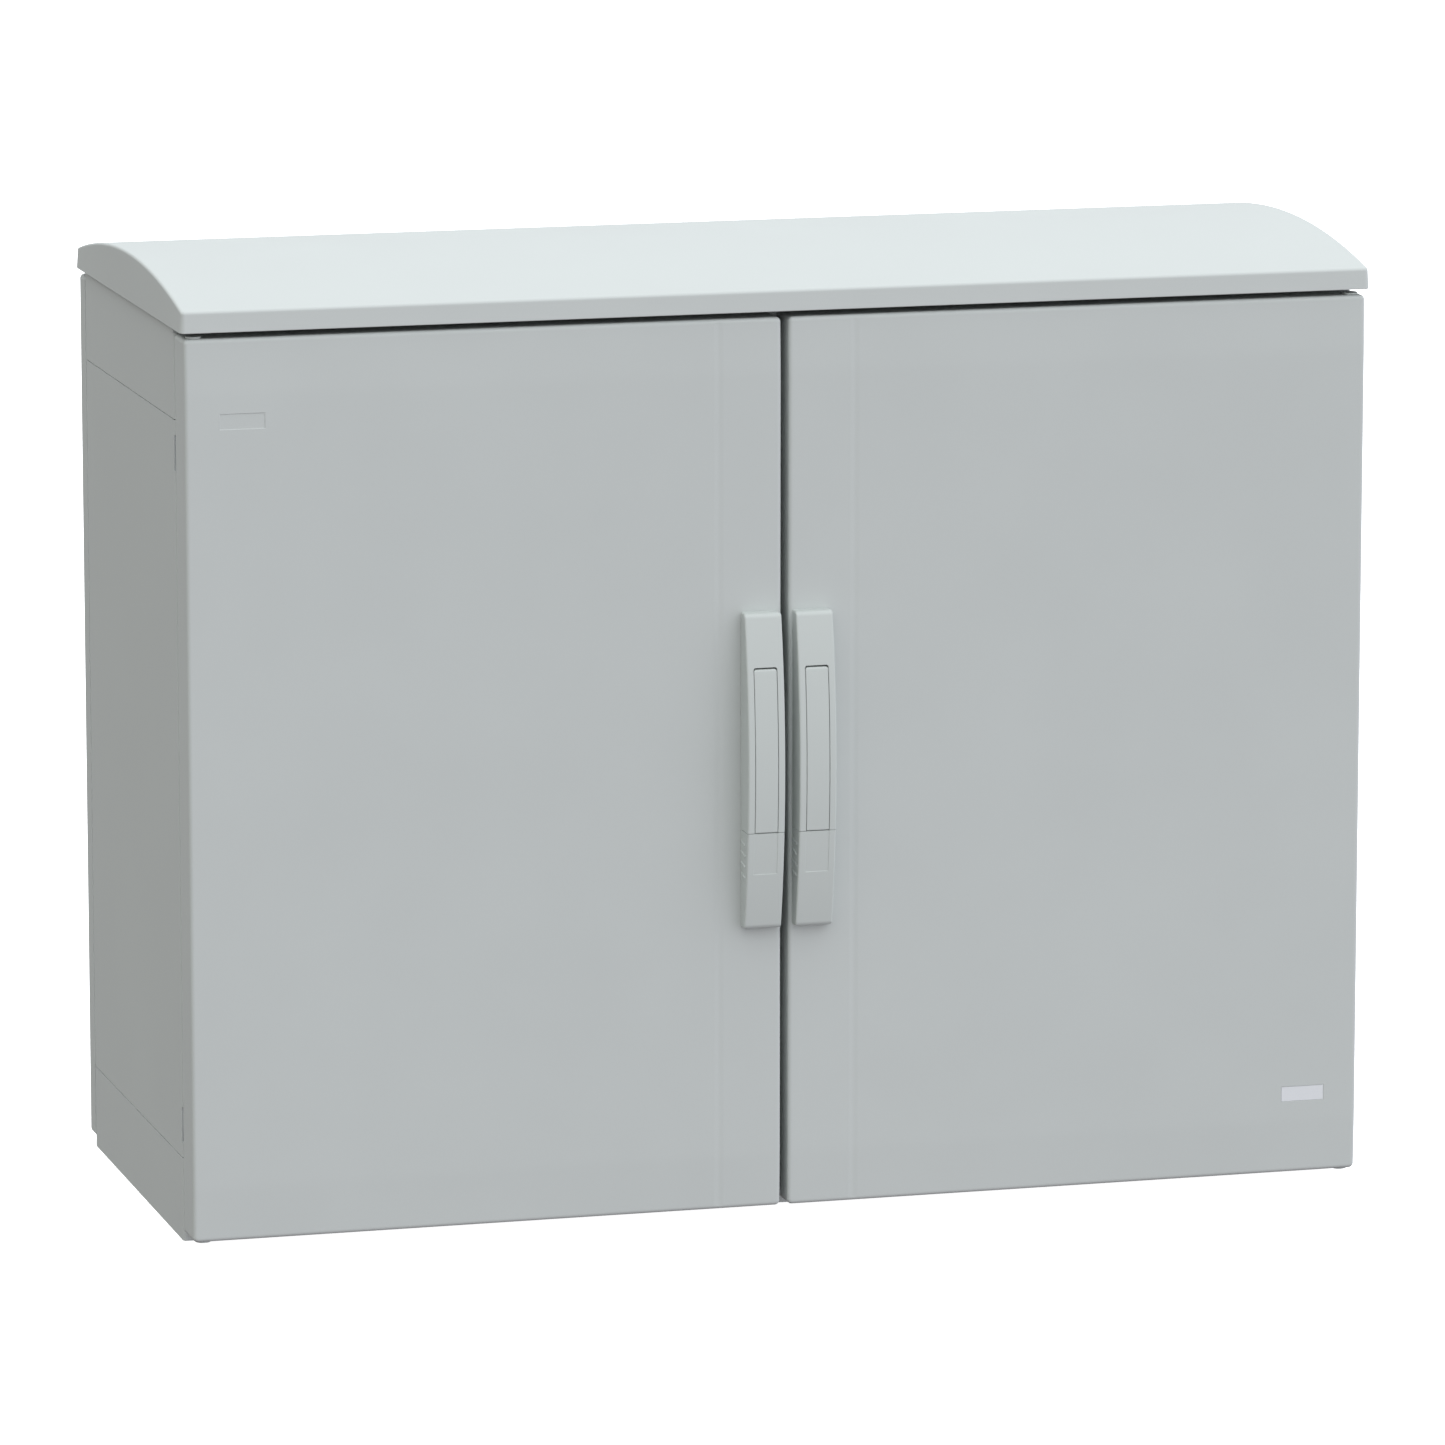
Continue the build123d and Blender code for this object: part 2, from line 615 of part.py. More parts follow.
crank_x = crank_r * cos(radians(crank_start))
crank_z = crank_r * sin(radians(crank_start))

for side, hand in ((-1, "left"), (1, "right")):
    out_x = side * side_x
    in_x = side * door_in_x
    grip_x = side * handle_x
    hinge_x = side * pivot_x
    # The two doors are one moulding: the right one is the left one turned half round,
    # so the marker field is at the top of one and at the foot of the other.
    if side < 0:
        field_z0 = door_high - marker_up - marker_h
    else:
        field_z0 = door_low + marker_up
    field_x0 = side * (side_x - marker_side)
    field_x1 = side * (side_x - marker_side - marker_w)

    with BuildPart() as door:
        with BuildSketch(Plane.YZ.offset(min(out_x, in_x))):
            with BuildLine():
                Polyline(
                    (door_back, door_low), (door_face + band_fall, door_low),
                    (door_face, door_low + band_h), (door_face, door_high - band_h),
                    (door_face + band_fall, door_high), (door_back, door_high), close=True,
                )
            make_face()
        extrude(amount=door_w)
        fillet(edges().filter_by(Axis.Y), door_r)
        front_rim = edges().filter_by(
            lambda e: e.center().Y < door_face + band_fall + past
            and (
                abs(e.center().X - out_x) < door_r
                or abs(e.center().X - in_x) < door_r
                or abs(e.center().Z - door_low) < past
                or abs(e.center().Z - door_high) < past
            )
        )
        fillet(front_rim, door_face_r)
        block(
            out_x - side * skin, in_x + side * skin, plate_back, door_back,
            door_low + skin, door_high - skin, Mode.SUBTRACT,
        )
        # channel that holds the seal
        channel_x0 = out_x - side * (seal_out - channel_wall)
        channel_x1 = in_x + side * (seal_in - channel_wall)
        channel_z0 = door_low + seal_end - channel_wall
        channel_z1 = door_high - seal_end + channel_wall
        channel_edge = door_back - channel_top
        wall = seal_w + 2 * channel_wall
        for z0, z1 in ((channel_z0, channel_z0 + wall), (channel_z1 - wall, channel_z1)):
            block(channel_x0, channel_x1, plate_back, channel_edge, z0, z1)
        for x0, x1 in ((channel_x0, channel_x0 - side * wall), (channel_x1 + side * wall, channel_x1)):
            block(x0, x1, plate_back, channel_edge, channel_z0, channel_z1)
        inner = channel_wall - channel_clear
        groove = seal_w + 2 * channel_clear
        bed = channel_edge - seal_bed
        for z0 in (channel_z0 + inner, channel_z1 - inner - groove):
            block(
                channel_x0 - side * inner, channel_x1 + side * inner, bed, channel_edge,
                z0, z0 + groove, Mode.SUBTRACT,
            )
        for x0 in (channel_x0 - side * inner, channel_x1 + side * (inner + groove)):
            block(
                x0, x0 - side * groove, bed, channel_edge,
                channel_z0 + inner, channel_z1 - inner, Mode.SUBTRACT,
            )
        # lugs that hold the hinge pins, next to each bracket
        for low, high in bracket_spans:
            for z0 in (low - lug_clear - lug_h, high + lug_clear):
                block(
                    out_x - side * skin, hinge_x - side * (pivot_side - skin), plate_back,
                    pivot_y + pivot_side - skin, z0, z0 + lug_h,
                )
        rod_along_z(hinge_x, pivot_y, door_low, low_pin_top, pin_r, Mode.SUBTRACT)
        rod_along_z(hinge_x, pivot_y, high_pin_foot, door_high, pin_r, Mode.SUBTRACT)
        # lock spindle, handle screws and marker field
        rod_along_y(grip_x, lock_z, door_face, plate_back, neck_r + neck_hole_clear, Mode.SUBTRACT)
        for z in handle_screw_z:
            rod_along_y(grip_x, z, door_face, plate_back, screw_r, Mode.SUBTRACT)
        block(
            field_x0, field_x1, door_face, door_face + marker_d, field_z0, field_z0 + marker_h,
            Mode.SUBTRACT,
        )
    finish(door.part, f"{hand}_door", polyester)

    # ------------------------------------------------------------ seal
    with BuildPart() as door_seal:
        seal_x0, seal_x1 = out_x - side * seal_out, in_x + side * seal_in
        seal_z0, seal_z1 = door_low + seal_end, door_high - seal_end
        ring(seal_x0, seal_x1, bed, front_y - seal_clear, seal_z0, seal_z1, seal_w)
    finish(door_seal.part, f"{hand}_door_seal", black)

    # ------------------------------------------------------------ hinge pins
    with BuildPart() as hinge_pins:
        rod_along_z(hinge_x, pivot_y, door_low, low_pin_top, pin_r)
        rod_along_z(hinge_x, pivot_y, door_low - pin_head_h, door_low, pin_head_r)
        rod_along_z(hinge_x, pivot_y, high_pin_foot, door_high, pin_r)
        rod_along_z(hinge_x, pivot_y, door_high, door_high + pin_head_h, pin_head_r)
    finish(hinge_pins.part, f"{hand}_hinge_pins", polyester)

    # ------------------------------------------------------------ handle housing
    with BuildPart() as handle_housing:
        add(bow(grip_x, handle_w, 0, handle_r))
        block(
            grip_x - handle_w, grip_x + handle_w, handle_out, door_face,
            handle_low - past, handle_seam, Mode.SUBTRACT,
        )
        with BuildPart(mode=Mode.PRIVATE) as core:
            add(bow(grip_x, core_w, core_shrink))
            block(
                grip_x - handle_w, grip_x + handle_w, handle_out, door_face,
                handle_seam, handle_high + past, Mode.SUBTRACT,
            )
        add(core.part)
        for x in (-1, 1):
            block(
                grip_x + x * (core_w / 2 - groove_d), grip_x + x * core_w, door_face - groove_h, door_face,
                handle_low, handle_seam, Mode.SUBTRACT,
            )
        # lever pocket
        with BuildPart(mode=Mode.PRIVATE) as pocket:
            add(bow(grip_x, lever_w + 2 * lever_clear, -past))
            add(bow(grip_x, handle_w, lever_back), mode=Mode.SUBTRACT)
            for z0, z1 in ((beyond_low, handle_seam), (lever_top + lever_heel, beyond_high)):
                block(
                    grip_x - handle_w, grip_x + handle_w, handle_out, door_face + past,
                    z0, z1, Mode.SUBTRACT,
                )
        add(pocket.part, mode=Mode.SUBTRACT)
        pin_half = lever_w / 2 + lever_clear + lever_pin_over
        rod_along_x(
            lever_pin_y, lever_pin_z, grip_x - pin_half, grip_x + pin_half, lever_pin_r, Mode.SUBTRACT
        )
        # lock barrel and screw holes
        rod_along_y(
            grip_x, lock_z, handle_out, housing_floor, insert_body_r + lock_clear, Mode.SUBTRACT
        )
        rod_along_y(grip_x, lock_z, housing_floor, door_face, neck_r + lock_clear, Mode.SUBTRACT)
        for z in handle_screw_z:
            rod_along_y(grip_x, z, door_face - handle_end_d / 2, door_face, screw_r, Mode.SUBTRACT)
    finish(handle_housing.part, f"{hand}_handle_housing", polyester)

    # ------------------------------------------------------------ handle screws
    with BuildPart() as handle_screws:
        for z in handle_screw_z:
            rod_along_y(grip_x, z, door_face - handle_end_d / 2, plate_back, screw_r)
            rod_along_y(grip_x, z, plate_back, plate_back + screw_head_h, screw_head_r)
    finish(handle_screws.part, f"{hand}_handle_screws", steel)

    # ------------------------------------------------------------ pull lever
    with BuildPart() as pull_lever:
        with BuildPart(mode=Mode.PRIVATE) as curved_bar:
            add(bow(grip_x, lever_w, 0))
            add(bow(grip_x, handle_w, lever_t), mode=Mode.SUBTRACT)
            for z0, z1 in ((beyond_low, lever_low), (lever_top, beyond_high)):
                block(
                    grip_x - handle_w, grip_x + handle_w, handle_out, door_face + past,
                    z0, z1, Mode.SUBTRACT,
                )
        add(curved_bar.part)
        top_edge = edges().filter_by(Axis.X).sort_by(Axis.Z)[-2:].sort_by(Axis.Y)[0]
        fillet(top_edge, lever_nose_r)
        rod_along_x(
            lever_pin_y, lever_pin_z, grip_x - lever_w / 2, grip_x + lever_w / 2, lever_pin_r + pin_clear,
            Mode.SUBTRACT,
        )
    finish(pull_lever.part, f"{hand}_pull_lever", polyester)

    with BuildPart() as lever_pin:
        rod_along_x(lever_pin_y, lever_pin_z, grip_x - pin_half, grip_x + pin_half, lever_pin_r)
    finish(lever_pin.part, f"{hand}_lever_pin", steel)

    # ------------------------------------------------------------ lock cover
    with BuildPart() as lock_cover:
        add(bow(grip_x, handle_w, 0, handle_r))
        block(
            grip_x - handle_w, grip_x + handle_w, handle_out, door_face + past,
            handle_seam - seam_clear, handle_high + past, Mode.SUBTRACT,
        )
        add(bow(grip_x, handle_w - 2 * cover_wall, cover_wall), mode=Mode.SUBTRACT)
        for x in (-1, 1):
            lip_in = core_w / 2 - groove_d + cover_clear
            block(
                grip_x + x * lip_in, grip_x + x * (handle_w / 2 - cover_wall),
                door_face - groove_h + cover_clear, door_face - cover_clear / 2,
                handle_low + cover_wall, handle_seam - seam_clear,
            )
            for i in range(grip_ridges):
                z = handle_seam - grip_first - i * grip_pitch
                place = Location((grip_x + x * handle_w / 2, door_face - grip_stand, z), (grip_tilt, 0, 0))
                with Locations(place):
                    Box(2 * grip_out, grip_l, grip_t)
        with BuildPart(mode=Mode.PRIVATE) as field:
            add(bow(grip_x, field_w, -past))
            add(bow(grip_x, handle_w, field_d), mode=Mode.SUBTRACT)
            for z0, z1 in ((beyond_low, handle_seam - field_h), (handle_seam, beyond_high)):
                block(
                    grip_x - handle_w, grip_x + handle_w, handle_out, door_face + past,
                    z0, z1, Mode.SUBTRACT,
                )
        add(field.part, mode=Mode.SUBTRACT)
    finish(lock_cover.part, f"{hand}_lock_cover", polyester)

    # ------------------------------------------------------------ lock insert
    with BuildPart() as lock_insert:
        rod_along_y(grip_x, lock_z, lock_face, housing_floor, insert_body_r)
        rod_along_y(grip_x, lock_z, housing_floor, cam_rear - cam_t, neck_r)
        block(
            grip_x - square / 2, grip_x + square / 2, cam_rear - cam_t, cam_rear,
            lock_z - square / 2, lock_z + square / 2,
        )
        rod_along_y(grip_x, lock_z, lock_face, lock_face + key_d, key_r, Mode.SUBTRACT)
        rod_along_y(grip_x, lock_z, lock_face + key_recess, lock_face + key_d, key_pin_r)
        block(
            grip_x - bit_w / 2, grip_x + bit_w / 2, lock_face + key_recess, lock_face + key_d,
            lock_z - bit_r, lock_z + bit_r,
        )
    finish(lock_insert.part, f"{hand}_lock_insert", steel)

    # ------------------------------------------------------------ cam with two crank pins
    with BuildPart() as lock_cam:
        rod_along_y(grip_x, lock_z, cam_rear - cam_t, cam_rear, cam_r)
        half = square / 2 + square_clear
        block(
            grip_x - half, grip_x + half, cam_rear - cam_t, cam_rear, lock_z - half, lock_z + half,
            Mode.SUBTRACT,
        )
        for turn in (-1, 1):
            rod_along_y(
                grip_x + side * turn * crank_x, lock_z - turn * crank_z, cam_rear, rod_rear,
                crank_pin_r,
            )
    finish(lock_cam.part, f"{hand}_lock_cam", steel)

    # ------------------------------------------------------------ rods
    for up, name in ((1, "upper"), (-1, "lower")):
        # the upper rod's yoke is on the hinge side of the spindle, the lower rod's on the other
        yoke_side = side * up
        pin_z = lock_z - up * crank_z
        end_z = top_end if up > 0 else low_end
        slot = crank_pin_r + yoke_clear
        with BuildPart() as rod:
            block(
                grip_x - rod_w / 2, grip_x + rod_w / 2, rod_front, rod_rear,
                lock_z + up * (cam_r + neck_gap), end_z,
            )
            block(
                grip_x + yoke_side * yoke_in, grip_x + yoke_side * yoke_out, rod_front, rod_rear,
                pin_z - up * yoke_down, lock_z + up * (cam_r + neck_gap + yoke_root),
            )
            block(
                grip_x + yoke_side * (yoke_in - past), grip_x + yoke_side * (yoke_out - yoke_wall),
                rod_front, rod_rear, pin_z - slot, pin_z + slot, Mode.SUBTRACT,
            )
        finish(rod.part, f"{hand}_{name}_rod", steel)

    # ------------------------------------------------------------ rod guides
    with BuildPart() as rod_guides:
        for z in guide_z[0] + guide_z[1]:
            block(
                grip_x - rod_w / 2 - guide_wall, grip_x + rod_w / 2 + guide_wall,
                plate_back, rod_rear + guide_wall, z - guide_h / 2, z + guide_h / 2,
            )
            block(
                grip_x - rod_w / 2 - guide_clear, grip_x + rod_w / 2 + guide_clear,
                rod_front - guide_clear, rod_rear + guide_clear,
                z - guide_h / 2, z + guide_h / 2, Mode.SUBTRACT,
            )
    finish(rod_guides.part, f"{hand}_rod_guides", black)

# ================================================================ label plate
with BuildPart() as label_plate:
    x0 = side_x - marker_side - label_clear
    x1 = side_x - marker_side - marker_w + label_clear
    z0 = door_low + marker_up + label_clear
    block(x1, x0, door_face + marker_d - label_t, door_face + marker_d, z0, z0 + marker_h - 2 * label_clear)
finish(label_plate.part, "label_plate", (0.92, 0.93, 0.94))
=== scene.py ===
# %% [markdown]
# # A two-door outdoor cabinet
# The cabinet's pieces come in already modelled and already in their places. This file gives
# them their looks: finer shapes where the eye goes, and finishes made from shader nodes.
# Everything is in metres, +Z is up, and the doors face -Y.

# %% Load the fixed frame
import json
from math import cos, pi, radians, sin, sqrt, tan

import bmesh
import bpy
from mathutils import Matrix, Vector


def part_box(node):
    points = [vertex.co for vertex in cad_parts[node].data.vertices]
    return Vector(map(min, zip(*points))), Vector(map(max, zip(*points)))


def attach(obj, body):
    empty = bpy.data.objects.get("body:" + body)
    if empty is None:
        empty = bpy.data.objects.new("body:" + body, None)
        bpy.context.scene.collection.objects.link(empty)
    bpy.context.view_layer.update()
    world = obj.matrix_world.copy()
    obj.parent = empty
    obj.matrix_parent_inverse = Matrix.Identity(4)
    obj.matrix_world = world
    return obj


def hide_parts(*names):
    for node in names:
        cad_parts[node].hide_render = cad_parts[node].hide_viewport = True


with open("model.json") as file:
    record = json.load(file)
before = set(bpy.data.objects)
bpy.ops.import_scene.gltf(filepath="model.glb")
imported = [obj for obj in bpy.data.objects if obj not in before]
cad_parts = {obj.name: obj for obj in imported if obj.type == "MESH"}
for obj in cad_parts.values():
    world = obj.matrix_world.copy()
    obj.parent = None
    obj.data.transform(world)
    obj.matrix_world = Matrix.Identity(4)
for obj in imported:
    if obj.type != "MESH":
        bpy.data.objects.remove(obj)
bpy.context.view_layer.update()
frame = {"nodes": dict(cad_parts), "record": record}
nodes = frame["nodes"]
slot_of = {row["node"]: row["material_slot"] for row in frame["record"]["subparts"]}
mm = 0.001
print("pieces that came in:", len(nodes))


# %% [markdown]
# ## Colour and nodes
# A screen colour such as "C9CECC" is stored with a curve that suits the eye. Light adds up
# in straight numbers, so one function undoes that curve before a colour reaches a shader.

# %% From a screen colour to light
def light_of(hex_colour):
    """Linear RGBA of a colour written as six hex digits."""
    parts = [int(hex_colour[i:i + 2], 16) / 255 for i in (0, 2, 4)]
    linear = [c / 12.92 if c <= 0.04045 else ((c + 0.055) / 1.055) ** 2.4 for c in parts]
    return (*linear, 1.0)


# %% Add one node
def add(tree, kind, values=None, links=None, **properties):
    """Add a node: properties set its options, values its sockets, links join its sockets."""
    node = tree.nodes.new(kind)
    for name, value in properties.items():
        setattr(node, name, value)
    for name, value in (values or {}).items():
        node.inputs[name].default_value = value
    for name, source in (links or {}).items():
        tree.links.new(source, node.inputs[name])
    return node


def blank_material(name):
    """A material with a Principled shader: returns the material, its tree and its shader."""
    material = bpy.data.materials.new(name)
    material.use_nodes = True
    return material, material.node_tree, material.node_tree.nodes["Principled BSDF"]


def ramp(tree, source, stops):
    """A colour ramp on a 0 to 1 value. stops are (position, linear colour) pairs."""
    node = add(tree, "ShaderNodeValToRGB", links={"Fac": source})
    elements = node.color_ramp.elements
    while len(elements) < len(stops):
        elements.new(0.5)
    for element, (position, colour) in zip(elements, stops):
        element.position = position
        element.color = colour
    return node.outputs["Color"]


def shade(colour, factor):
    """A linear colour made lighter or darker."""
    return (*[min(1.0, c * factor) for c in colour[:3]], 1.0)


def noise(tree, place, size, detail):
    """A value from 0 to 1 that wanders over about this distance."""
    values = {"Scale": 1 / size, "Detail": detail}
    return add(tree, "ShaderNodeTexNoise", values, {"Vector": place}).outputs["Fac"]


def emboss(tree, shader, height, depth, strength):
    """Let a 0 to 1 value raise the surface by up to a depth."""
    values = {"Strength": strength, "Distance": depth}
    bump = add(tree, "ShaderNodeBump", values, {"Height": height})
    tree.links.new(bump.outputs["Normal"], shader.inputs["Normal"])


# %% [markdown]
# ## Moulded plastic
# Press-moulded polyester has no brush marks and no gloss. Its skin carries a faint orange
# peel, a finer grain from the tool, and clouds of slightly lighter and darker grey where the
# glass fibre flowed. Four noises at four scales do this; an image would tile and blur.

# %% Moulded plastic finish
cloud_size, fleck_size, peel_size = 90 * mm, 1.6 * mm, 6 * mm


def moulded(name, hex_colour, roughness, grain_mm, grain_depth, mottle):
    """Grain size and depth are in millimetres. mottle is how far the grey wanders, as a share."""
    material, tree, shader = blank_material(name)
    place = add(tree, "ShaderNodeTexCoord").outputs["Object"]
    base = light_of(hex_colour)
    cloud = noise(tree, place, cloud_size, 2.0)
    fleck = noise(tree, place, fleck_size, 4.0)
    both = add(tree, "ShaderNodeMath", {1: 0.35}, {0: fleck, 2: cloud}, operation="MULTIPLY_ADD")
    darker, lighter = shade(base, 1 - mottle), shade(base, 1 + mottle)
    tint = ramp(tree, both.outputs[0], [(0.45, darker), (0.9, lighter)])
    tree.links.new(tint, shader.inputs["Base Color"])
    worn = add(tree, "ShaderNodeMapRange", {
        "From Min": 0.3, "From Max": 0.7, "To Min": roughness - 0.04, "To Max": roughness + 0.05,
    }, {"Value": cloud})
    tree.links.new(worn.outputs["Result"], shader.inputs["Roughness"])
    peel = noise(tree, place, peel_size, 1.0)
    grain = noise(tree, place, grain_mm * mm, 3.0)
    relief = add(tree, "ShaderNodeMath", {1: 0.5}, {0: peel, 2: grain}, operation="MULTIPLY_ADD")
    emboss(tree, shader, relief.outputs[0], grain_depth * mm, 0.35)
    shader.inputs["IOR"].default_value = 1.5
    print(name, "grain", grain_mm, "mm")
    return material


# %% [markdown]
# ## Metal
# Zinc plating is a bright, slightly blue metal whose crystals show as soft patches, and the
# rolled steel below leaves fine lines. Stretching a noise along one axis draws such lines.

# %% Plated and turned metal finish
def metal(name, hex_colour, roughness, patch_mm, stretch):
    """patch_mm is the crystals' size, and stretch draws the fine lines out along one axis."""
    material, tree, shader = blank_material(name)
    place = add(tree, "ShaderNodeTexCoord").outputs["Object"]
    base = light_of(hex_colour)
    patches = add(tree, "ShaderNodeTexVoronoi", {"Scale": 1 / (patch_mm * mm)}, {"Vector": place})
    darker, lighter = shade(base, 0.9), shade(base, 1.06)
    tint = ramp(tree, patches.outputs["Distance"], [(0.0, darker), (0.8, lighter)])
    tree.links.new(tint, shader.inputs["Base Color"])
    along = add(tree, "ShaderNodeMapping", {"Scale": stretch}, {"Vector": place})
    lines = noise(tree, along.outputs["Vector"], 0.8 * mm, 3.0)
    limits = {"To Min": roughness - 0.08, "To Max": roughness + 0.12}
    rough = add(tree, "ShaderNodeMapRange", limits, {"Value": lines})
    tree.links.new(rough.outputs["Result"], shader.inputs["Roughness"])
    emboss(tree, shader, lines, 0.02 * mm, 0.2)
    shader.inputs["Metallic"].default_value = 1.0
    return material


# %% [markdown]
# ## Foam rubber
# Foamed-in-place seals have a closed skin with tiny open pores. Voronoi cells give round pores of
# one size, which a noise can't. Each pore is a real dent in the bump, and its colour is also
# painted darker towards its centre: painted shade inside the pore.

# %% Foam rubber finish
def foam_rubber():
    material, tree, shader = blank_material("foam rubber")
    place = add(tree, "ShaderNodeTexCoord").outputs["Object"]
    pore = 0.7 * mm
    cells = add(tree, "ShaderNodeTexVoronoi", {"Scale": 1 / pore}, {"Vector": place})
    base = light_of("2B2C2D")
    # Each pore is painted darker towards its centre, down to half the rubber's colour: painted
    # shade inside the dents.
    tint = ramp(tree, cells.outputs["Distance"], [(0.05, shade(base, 0.5)), (0.5, base)])
    tree.links.new(tint, shader.inputs["Base Color"])
    emboss(tree, shader, cells.outputs["Distance"], 0.15 * mm, 0.6)
    shader.inputs["Roughness"].default_value = 0.88
    shader.inputs["Sheen Weight"].default_value = 0.15
    return material


# %% Label film finish
def label_film():
    """A smooth plastic film: nearly white, with a faint grain under a thin clear coat."""
    material, tree, shader = blank_material("label film")
    place = add(tree, "ShaderNodeTexCoord").outputs["Object"]
    grain = noise(tree, place, 0.5 * mm, 2.0)
    base = light_of("E6E9EC")
    tint = ramp(tree, grain, [(0.3, shade(base, 0.97)), (0.7, base)])
    tree.links.new(tint, shader.inputs["Base Color"])
    shader.inputs["Roughness"].default_value = 0.3
    shader.inputs["Coat Weight"].default_value = 0.3
    return material


# %% The cabinet's finishes, one for each material slot
finishes = {
    "moulded_polyester": moulded("moulded polyester", "C9CECC", 0.55, 0.9, 0.05, 0.012),
    "handle_polyamide": moulded("moulded polyamide", "CAD0CD", 0.42, 0.5, 0.025, 0.006),
    "foam_rubber": foam_rubber(),
    "black_polyamide": moulded("black polyamide", "26272A", 0.5, 0.6, 0.03, 0.05),
    "zinc_plated_steel": metal("zinc-plated steel", "C3C8CC", 0.34, 5.0, (1.0, 1.0, 0.15)),
    "brass": metal("turned brass", "C8A45C", 0.28, 3.0, (1.0, 0.1, 1.0)),
    "label_film": label_film(),
}
for name, piece in nodes.items():
    piece.data.materials.clear()
    piece.data.materials.append(finishes[slot_of[name]])


# %% [markdown]
# ## Bringing a piece into the cabinet
# Every new piece says three things: which body it moves with, which plain piece it stands
# for, and which material slot its finish comes from.

# %% Piece helpers
bodies = frame["record"]["behaviour"]["bodies"]
body_of = {node: body for body, members in bodies.items() for node in members}


def object_of(name, mesh):
    """A new object in the scene that shows a mesh."""
    piece = bpy.data.objects.new(name, mesh)
    bpy.context.scene.collection.objects.link(piece)
    return piece


def install(piece, node):
    """Give a piece its finish, its body and the plain node it stands for."""
    finish = slot_of[node]
    even_shading(piece)
    if not piece.data.materials:
        piece.data.materials.append(finishes[finish])
    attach(piece, body_of[node])
    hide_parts(node)
    print(piece.name, "for", node, "faces", len(piece.data.polygons))
    return piece


def mesh_from(name, bm, sharp_degrees=32):
    """A mesh with its faces pointing out, shaded smooth except across sharp edges."""
    bmesh.ops.remove_doubles(bm, verts=bm.verts, dist=2e-6)
    bmesh.ops.recalc_face_normals(bm, faces=bm.faces)
    mesh = bpy.data.meshes.new(name)
    bm.to_mesh(mesh)
    bm.free()
    mesh.polygons.foreach_set("use_smooth", [True] * len(mesh.polygons))
    mesh.set_sharp_from_angle(angle=radians(sharp_degrees))
    return mesh


def even_shading(piece):
    """Let large flat faces keep their own direction where they meet a small rounded edge."""
    weigh = piece.modifiers.new("face weights", "WEIGHTED_NORMAL")
    weigh.mode, weigh.weight, weigh.keep_sharp = "FACE_AREA_WITH_ANGLE", 100, True
    return baked(piece)


def baked(piece):
    """Turn a piece and its modifiers into a plain mesh."""
    graph = bpy.context.evaluated_depsgraph_get()
    mesh = bpy.data.meshes.new_from_object(piece.evaluated_get(graph))
    piece.modifiers.clear()
    piece.data = mesh
    return piece


# %% [markdown]
# ## Sizes that the shapes share
# These repeat the cabinet's own dimensions, in metres.

# %% Shared sizes
door_x0, door_face_y, door_z0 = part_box("left_door")[0]
door_x1, door_back_y, door_z1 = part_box("left_door")[1]
half_width, pin_x = 500 * mm, 490 * mm
wall = 4 * mm
door_corner = 4 * mm
print("door", round((door_x1 - door_x0) / mm, 1), "by", round((door_z1 - door_z0) / mm, 1), "mm")


# %% [markdown]
# ## Trays
# The doors and the canopy are trays: a flat or curved face, a rounded edge, a wall, a rim,
# and the same again inside. A tray is drawn as rings of points that follow a rounded
# rectangle, each drawn in a little more, with a grid of faces to close each side.

# %% Rings around a rounded rectangle
corner_steps = 6


def spread(low, high, count, extra=()):
    """Evenly spaced lines between two ends, with extra ones where a shape needs them."""
    even = [low + (high - low) * i / (count - 1) for i in range(count)]
    kept = [e for e in even if all(abs(e - x) > 3 * mm for x in extra) or e in (low, high)]
    return sorted(set(kept) | {x for x in extra if low < x < high})


def ring_points(outline, inset, depth):
    """One ring. outline is (u0, u1, v0, v1, corner radius, u lines, v lines, place)."""
    u0, u1, v0, v1, radius, us, vs, place = outline
    r = radius - inset
    sides = (
        [(u, v0 + inset) for u in us], [(u1 - inset, v) for v in vs],
        [(u, v1 - inset) for u in reversed(us)], [(u0 + inset, v) for v in reversed(vs)],
    )
    corners = (
        (u1 - radius, v0 + radius, -90), (u1 - radius, v1 - radius, 0),
        (u0 + radius, v1 - radius, 90), (u0 + radius, v0 + radius, 180),
    )
    points = []
    for side, (cu, cv, start) in zip(sides, corners):
        points += side
        for i in range(1, corner_steps):
            turn = radians(start + 90 * i / corner_steps)
            points.append((cu + r * cos(turn), cv + r * sin(turn)))
    return [place(u, v, depth(u, v) if callable(depth) else depth) for u, v in points]


def join_rings(bm, outline, rows, closed=False):
    """Faces between rings. rows are (inset, depth) pairs, depth a number or a function."""
    rings = [[bm.verts.new(p) for p in ring_points(outline, *row)] for row in rows]
    if closed:
        rings.append(rings[0])
    count = len(rings[0])
    for near, far in zip(rings, rings[1:]):
        for i in range(count):
            j = (i + 1) % count
            bm.faces.new((near[i], near[j], far[j], far[i]))


def cap_grid(bm, outline, depth):
    """A grid of faces that closes a tray, inside its innermost ring."""
    us, vs, place = outline[5:]
    grid = [[bm.verts.new(place(u, v, depth(u, v))) for u in us] for v in vs]
    for low, high in zip(grid, grid[1:]):
        for i in range(len(us) - 1):
            bm.faces.new((low[i], low[i + 1], high[i + 1], high[i]))


def quarter(start_inset, start_depth, inset_by, depth_by, steps=5, first_in=False):
    """Rows of a rounded edge: a quarter turn from one place to the next."""
    rows = []
    for i in range(steps + 1):
        turn = radians(90 * i / steps)
        across, along = (sin(turn), 1 - cos(turn)) if first_in else (1 - cos(turn), sin(turn))
        rows.append((start_inset + inset_by * across, start_depth + depth_by * along))
    return rows


# %% [markdown]
# ## Doors
# Each door is one moulding. Its face is flat except for a band at the top and the foot that
# leans back by about a degree and a half, an upright crease near the handle, and a shallow
# field for a marker plate. All three are about a millimetre deep or less, so they are drawn
# as one depth function over the grid: only their slopes catch the light.

